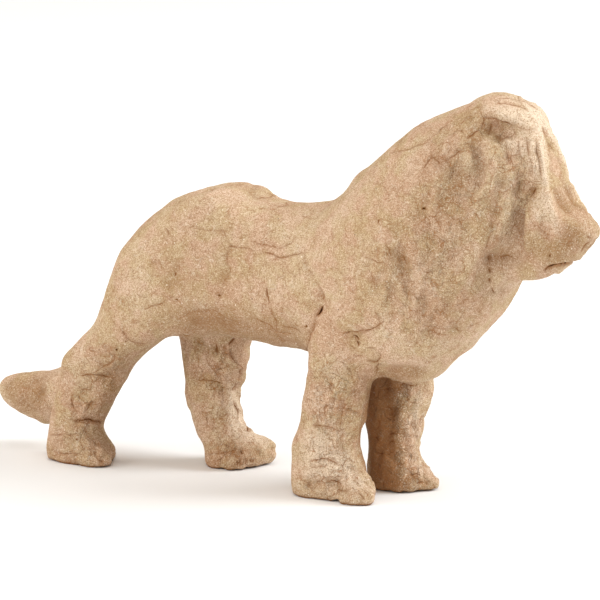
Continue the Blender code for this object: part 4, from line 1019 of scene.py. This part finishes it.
paperCoats = {  # colour, pattern, where the pattern starts and is full, and how strong it is
    "rustBlotches": ("rust", "blotch", (0.51, 0.68), "stained"),
    "paleBlotches": ("pale", "blotch", (0.46, 0.30), 0.22),
    "paleClouds": ("pale", "clouds", (0.40, 0.68), 0.32),
    "deepClouds": ("deep", "clouds", (0.46, 0.28), 0.22),
    "shade": ("shade", "tone", (0.0, -1.0), 0.80),
    # the deepest tone turns brown: painted shade under the belly, between the forelegs and on the far
    # foreleg's inner side
    "deepestPaintedShade": ("glue", "tone", (-0.9, -1.8), 0.72),
    # paler where the tone is above 0: partly worn paper, partly painted highlight on ridges and on faces
    # turned to the lamps
    "wornAndPaintedHighlight": ("pale", "tone", (0.0, 1.0), 0.90),
    "deepMottle": ("deep", "mottle", (0.54, 0.76), "onMottle"),
    "paleMottle": ("pale", "mottle", (0.44, 0.28), 0.30),
    # redder patches: rust, and on the far foreleg's inner side a painted warm shade
    "rustAndWarmShadePatches": ("rust", "rusty", None, 0.60),
    "deepGrain": ("deep", "grain", (0.50, 0.74), 0.36),
    "paleGrain": ("speckPale", "grain", (0.46, 0.26), 0.22, "onDry"),
    "deepFibres": ("deep", "fibres", (0.50, 0.74), 0.30),
    "paleFibres": ("speckPale", "fibres", (0.46, 0.24), 0.16, "onDry"),
    "deepFineGrain": ("deep", "fineGrain", (0.50, 0.72), 0.80),
    "paleFineGrain": ("speckPale", "fineGrain", (0.47, 0.26), "onGrain", "onDry"),
    "wideWrinkles": ("rust", "wideWrinkles", None, 0.42),
    "closeWrinkles": ("rust", "closeWrinkles", None, 0.38),
    "roughWrinkles": ("rust", "roughWrinkles", None, 0.62),
    "paleWrinkles": ("speckPale", "paleWrinkles", None, 0.35, "onDry"),
    "paleSpecks": ("speckPale", "paleSpecks", None, 0.80, "onDry"),
    "brownSpecks": ("speckDark", "brownSpecks", None, "onSpecks"),
    "whiteSpecks": ("speckWhite", "whiteSpecks", None, 0.90, "onDry"),
    "blackSpecks": ("black", "blackSpecks", None, 0.90),
    "lineStain": ("rust", "halo", None, 0.50),
    "brownLines": ("glue", "brownLines", None),
    # the darkest lines turn black: painted shade inside the slits, tears and deepest creases
    "blackLines": ("black", "lines", (1.0, 1.7), 0.97),
    # dots turn brown, then black at their middle: partly dark flecks, partly painted shade in pits such as
    # the nostrils
    "brownDots": ("glue", "dotDark", (0.0, 0.55)),
    "blackDots": ("black", "dotDark", (0.45, 1.0)),
    # painted contact shadow: the paper is darkened along the bottom edge of every paw
    "soles": ("glue", "aboveGround", (0.9, 0.25), 0.9),  # mm above the ground
}

paperHeights = {  # how far each pattern stands out, less than 0 is pressed in
    "grain": 0.30,
    "fineGrain": 0.30,
    "mottle": 0.55,
    "paleSpecks": 0.10,
    "wideWrinkles": -0.22,
    "closeWrinkles": -0.18,
    "roughWrinkles": -0.25,
    "paleWrinkles": 0.18,
    "creases": 1.0,
    "lines": -0.35,
}


def nodeMaker(material):
    tree = material.node_tree

    def make(kind, inputs=None, **settings):
        node = tree.nodes.new(kind)
        for name, value in settings.items():
            setattr(node, name, value)
        for name, value in (inputs or {}).items():
            if isinstance(value, bpy.types.NodeSocket):
                tree.links.new(value, node.inputs[name])
            else:
                node.inputs[name].default_value = value
        return node

    return make


def kraftPaper():
    material = bpy.data.materials.new("kraftPaper")
    material.use_nodes = True
    make = nodeMaker(material)
    place = make("ShaderNodeTexCoord").outputs["Object"]

    def maths(operation, *values):
        return make("ShaderNodeMath", dict(enumerate(values)), operation=operation).outputs[0]

    def vectorMaths(operation, *values):
        return make("ShaderNodeVectorMath", dict(enumerate(values)), operation=operation).outputs[0]

    def noiseNode(scale, detail, rough, shift, distortion=0.0):
        settings = {"Scale": scale, "Detail": detail, "Roughness": rough, "Distortion": distortion}
        return make("ShaderNodeTexNoise", {"Vector": vectorMaths("ADD", place, shift), **settings})

    def between(value, low, high, toLow=0.0, toHigh=1.0):
        ends = {"From Min": low, "From Max": high, "To Min": toLow, "To Max": toHigh}
        node = make("ShaderNodeMapRange", {"Value": value, **ends}, interpolation_type="SMOOTHSTEP")
        return node.outputs["Result"]

    def mixed(amount, first, second):  # 6 and 7 are the node's colour inputs, 2 is its colour output
        below, above = (c if isinstance(c, bpy.types.NodeSocket) else (*c, 1) for c in (first, second))
        return make("ShaderNodeMix", {0: amount, 6: below, 7: above}, data_type="RGBA").outputs[2]

    def mark(name):
        return make("ShaderNodeAttribute", attribute_name=name, attribute_type="GEOMETRY").outputs

    def threeOf(vector):
        return make("ShaderNodeSeparateXYZ", {0: vector}).outputs

    def specks(scale, size, share, shift):
        moved = vectorMaths("ADD", place, shift)
        cells = make("ShaderNodeTexVoronoi", {"Vector": moved, "Scale": scale}, feature="F1")
        chosen = make("ShaderNodeSeparateColor", {"Color": cells.outputs["Color"]}).outputs["Red"]
        near = between(cells.outputs["Distance"], size * paperLook["speckEdge"], size, 1.0, 0.0)
        return maths("MULTIPLY", near, between(chosen, 1 - share, 1 - share + paperLook["speckChoice"]))

    bendNoise = noiseNode(*paperLook["wrinkleNoise"]).outputs["Color"]
    bent = vectorMaths("ADD", place, vectorMaths("MULTIPLY", bendNoise, (paperLook["wrinkleBend"],) * 3))

    def wrinkles(scale, width, patchScale, low, high, shift):  # edges of bent cells, here and there
        moved = vectorMaths("ADD", bent, shift)
        cells = {"Vector": moved, "Scale": scale}
        edge = make("ShaderNodeTexVoronoi", cells, feature="DISTANCE_TO_EDGE").outputs["Distance"]
        line = between(edge, width * paperLook["wrinkleEdge"], width, 1.0, 0.0)
        patches = noiseNode(patchScale, 2.0, 0.5, shift).outputs["Fac"]
        return maths("MULTIPLY", line, between(patches, low, high))

    def fibres(stretch, shift):  # grain drawn out one way
        drawn = vectorMaths("MULTIPLY", vectorMaths("ADD", place, shift), stretch)
        settings = {"Vector": drawn, "Scale": paperLook["fibreScale"], "Detail": 1.0}
        return make("ShaderNodeTexNoise", settings).outputs["Fac"]

    patterns = {name: noiseNode(*values).outputs["Fac"] for name, values in paperNoises.items()}
    patterns.update({name: mark(name)["Fac"] for name in ("tone", "rust", "rough", "dotDark")})
    patterns.update({name: wrinkles(*values) for name, values in paperWrinkles.items()})
    patterns.update({name: specks(*values) for name, values in paperSpecks.items()})
    for name, (followed, *ends) in paperShares.items():
        patterns[name] = between(patterns[followed], *ends)
    patterns["stained"] = maths("MULTIPLY_ADD", patterns["rough"], *paperLook["rustOnRough"])
    patterns["rusty"] = maths("MINIMUM", maths("MULTIPLY", patterns["rust"], patterns["inPatches"]), 1.0)
    patterns["roughWrinkles"] = maths("MULTIPLY", patterns["roughWrinkles"], patterns["onCrumples"])
    patterns["aboveGround"] = maths("DIVIDE", threeOf(place)[2], millimetre)

    uprightWay = between(patterns["fibreWay"], *paperLook["fibreTurn"])
    uprightShift, lyingShift = paperLook["fibreShifts"]
    upright = fibres((1.0, 1.0, paperLook["fibreStretch"]), uprightShift)
    lying = fibres((paperLook["fibreStretch"], 1.0, 1.0), lyingShift)
    lyingShare = maths("MULTIPLY", lying, maths("SUBTRACT", 1.0, uprightWay))
    patterns["fibres"] = maths("MULTIPLY_ADD", upright, uprightWay, lyingShare)

    swing = maths("MULTIPLY", maths("SUBTRACT", patterns["lineWobble"], 0.5), paperLook["lineWobble"])
    widthPerDark, faintWidth = (share * paperLook["lineHalfWidth"] for share in paperLook["lineGrowth"])
    lines, halo = 0.0, 0.0
    for across, dark in zip(threeOf(mark("lineAcross")["Vector"]), threeOf(mark("lineDark")["Vector"])):
        steady = between(dark, *paperLook["lineSteady"])
        distance = maths("ABSOLUTE", maths("MULTIPLY_ADD", swing, steady, across))
        plainWidth = maths("MULTIPLY_ADD", dark, widthPerDark, faintWidth)
        width = maths("MULTIPLY", patterns["lineThick"], plainWidth)
        line = between(maths("DIVIDE", distance, width), *paperLook["lineEdge"], 1.0, 0.0)
        stain = between(distance, 0.0, paperLook["lineHalo"], 1.0, 0.0)
        lines = maths("MAXIMUM", lines, maths("MULTIPLY", line, dark))
        halo = maths("MAXIMUM", halo, maths("MULTIPLY", stain, dark))
    closed = maths("SUBTRACT", lines, paperLook["lineWhole"])
    whole = maths("MAXIMUM", patterns["lineUnbroken"], closed)
    brown = maths("MULTIPLY", maths("MINIMUM", lines, 1.0), whole)
    patterns["brownLines"] = maths("MINIMUM", brown, paperLook["lineBrown"])
    patterns.update(lines=lines, halo=halo)

    creased = maths("ABSOLUTE", maths("SUBTRACT", patterns["creasing"], 0.5))
    deepness = maths("MULTIPLY_ADD", patterns["rough"], *paperLook["creaseHeights"])
    patterns["creases"] = maths("MULTIPLY", maths("MINIMUM", creased, paperLook["creaseTop"]), deepness)

    hueShare = between(patterns["hue"], *paperLook["hueSpan"])
    colour = mixed(hueShare, paperLook["olive"], paperLook["pink"])
    colour = mixed(paperLook["hueCalm"], colour, paperLook["middle"])
    for tint, pattern, span, *strengths in paperCoats.values():
        amount = between(patterns[pattern], *span) if span else patterns[pattern]
        for strength in strengths:
            amount = maths("MULTIPLY", amount, patterns.get(strength, strength))
        colour = mixed(amount, colour, paperLook[tint])
    height = 0.0
    for pattern, amount in paperHeights.items():
        height = maths("MULTIPLY_ADD", patterns[pattern], amount, height)

    strength, distance = paperLook["bump"]
    bump = make("ShaderNodeBump", {"Strength": strength, "Height": height})
    bump.inputs["Distance"].default_value = distance * millimetre
    shader = material.node_tree.nodes["Principled BSDF"]
    material.node_tree.links.new(colour, shader.inputs["Base Color"])
    material.node_tree.links.new(bump.outputs["Normal"], shader.inputs["Normal"])
    shader.inputs["Roughness"].default_value = paperLook["roughness"]
    shader.inputs["Metallic"].default_value = 0
    shader.inputs["Specular IOR Level"].default_value = paperLook["specular"]
    print("paper material:", len(material.node_tree.nodes), "nodes")
    return material


studio = {
    "floorSide": 16.0,  # metres
    "floorColour": (0.90, 0.90, 0.90),
    "worldColour": (1.0, 0.87, 0.72),
    "worldStrength": 0.30,
    "lights": {  # place, side, power and colour
        "frontLight": ((0.8, -2.0, 1.8), 1.6, 18.0, (1.0, 0.99, 0.97)),
        "frontLeftLight": ((-1.2, -2.0, 1.0), 1.6, 24.5, (1.0, 0.98, 0.95)),
        "leftLight": ((-2.2, -0.6, 1.2), 1.6, 13.0, (1.0, 0.98, 0.95)),
        "overLight": ((0.0, 0.0, 2.4), 2.0, 22.0, (1.0, 1.0, 1.0)),
        "rightBackLight": ((1.8, 1.0, 1.4), 1.5, 66.0, (0.92, 0.97, 1.0)),
    },
}


def makeFloor():
    bpy.ops.mesh.primitive_plane_add(size=studio["floorSide"], location=(0, 0, cadLow.z))
    floor = bpy.context.object
    floor.name = "floor"
    material = bpy.data.materials.new("paleFloor")
    material.use_nodes = True
    shader = material.node_tree.nodes["Principled BSDF"]
    shader.inputs["Base Color"].default_value = (*studio["floorColour"], 1)
    shader.inputs["Roughness"].default_value = 1.0
    shader.inputs["Specular IOR Level"].default_value = 0
    floor.data.materials.append(material)


def softLight(name, place, side, power, colour):
    bpy.ops.object.light_add(type="AREA", location=place)
    light = bpy.context.object
    light.name = name
    light.data.size = side
    light.data.energy = power
    light.data.color = colour
    aim = Vector(cameraLook["target"]) - Vector(place)
    light.rotation_euler = aim.to_track_quat("-Z", "Y").to_euler()


def makeStudio():
    makeFloor()
    world = bpy.context.scene.world or bpy.data.worlds.new("studio")
    bpy.context.scene.world = world
    world.use_nodes = True
    sky = world.node_tree.nodes["Background"]
    sky.inputs["Color"].default_value = (*studio["worldColour"], 1)
    sky.inputs["Strength"].default_value = studio["worldStrength"]
    for name, settings in studio["lights"].items():
        softLight(name, *settings)
    bpy.context.scene.view_settings.view_transform = "Standard"
    print("studio ready")


makeCamera()
lion = makeLion()
lion.data.materials.clear()
lion.data.materials.append(kraftPaper())
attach(lion, "root")
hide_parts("lion")
makeStudio()
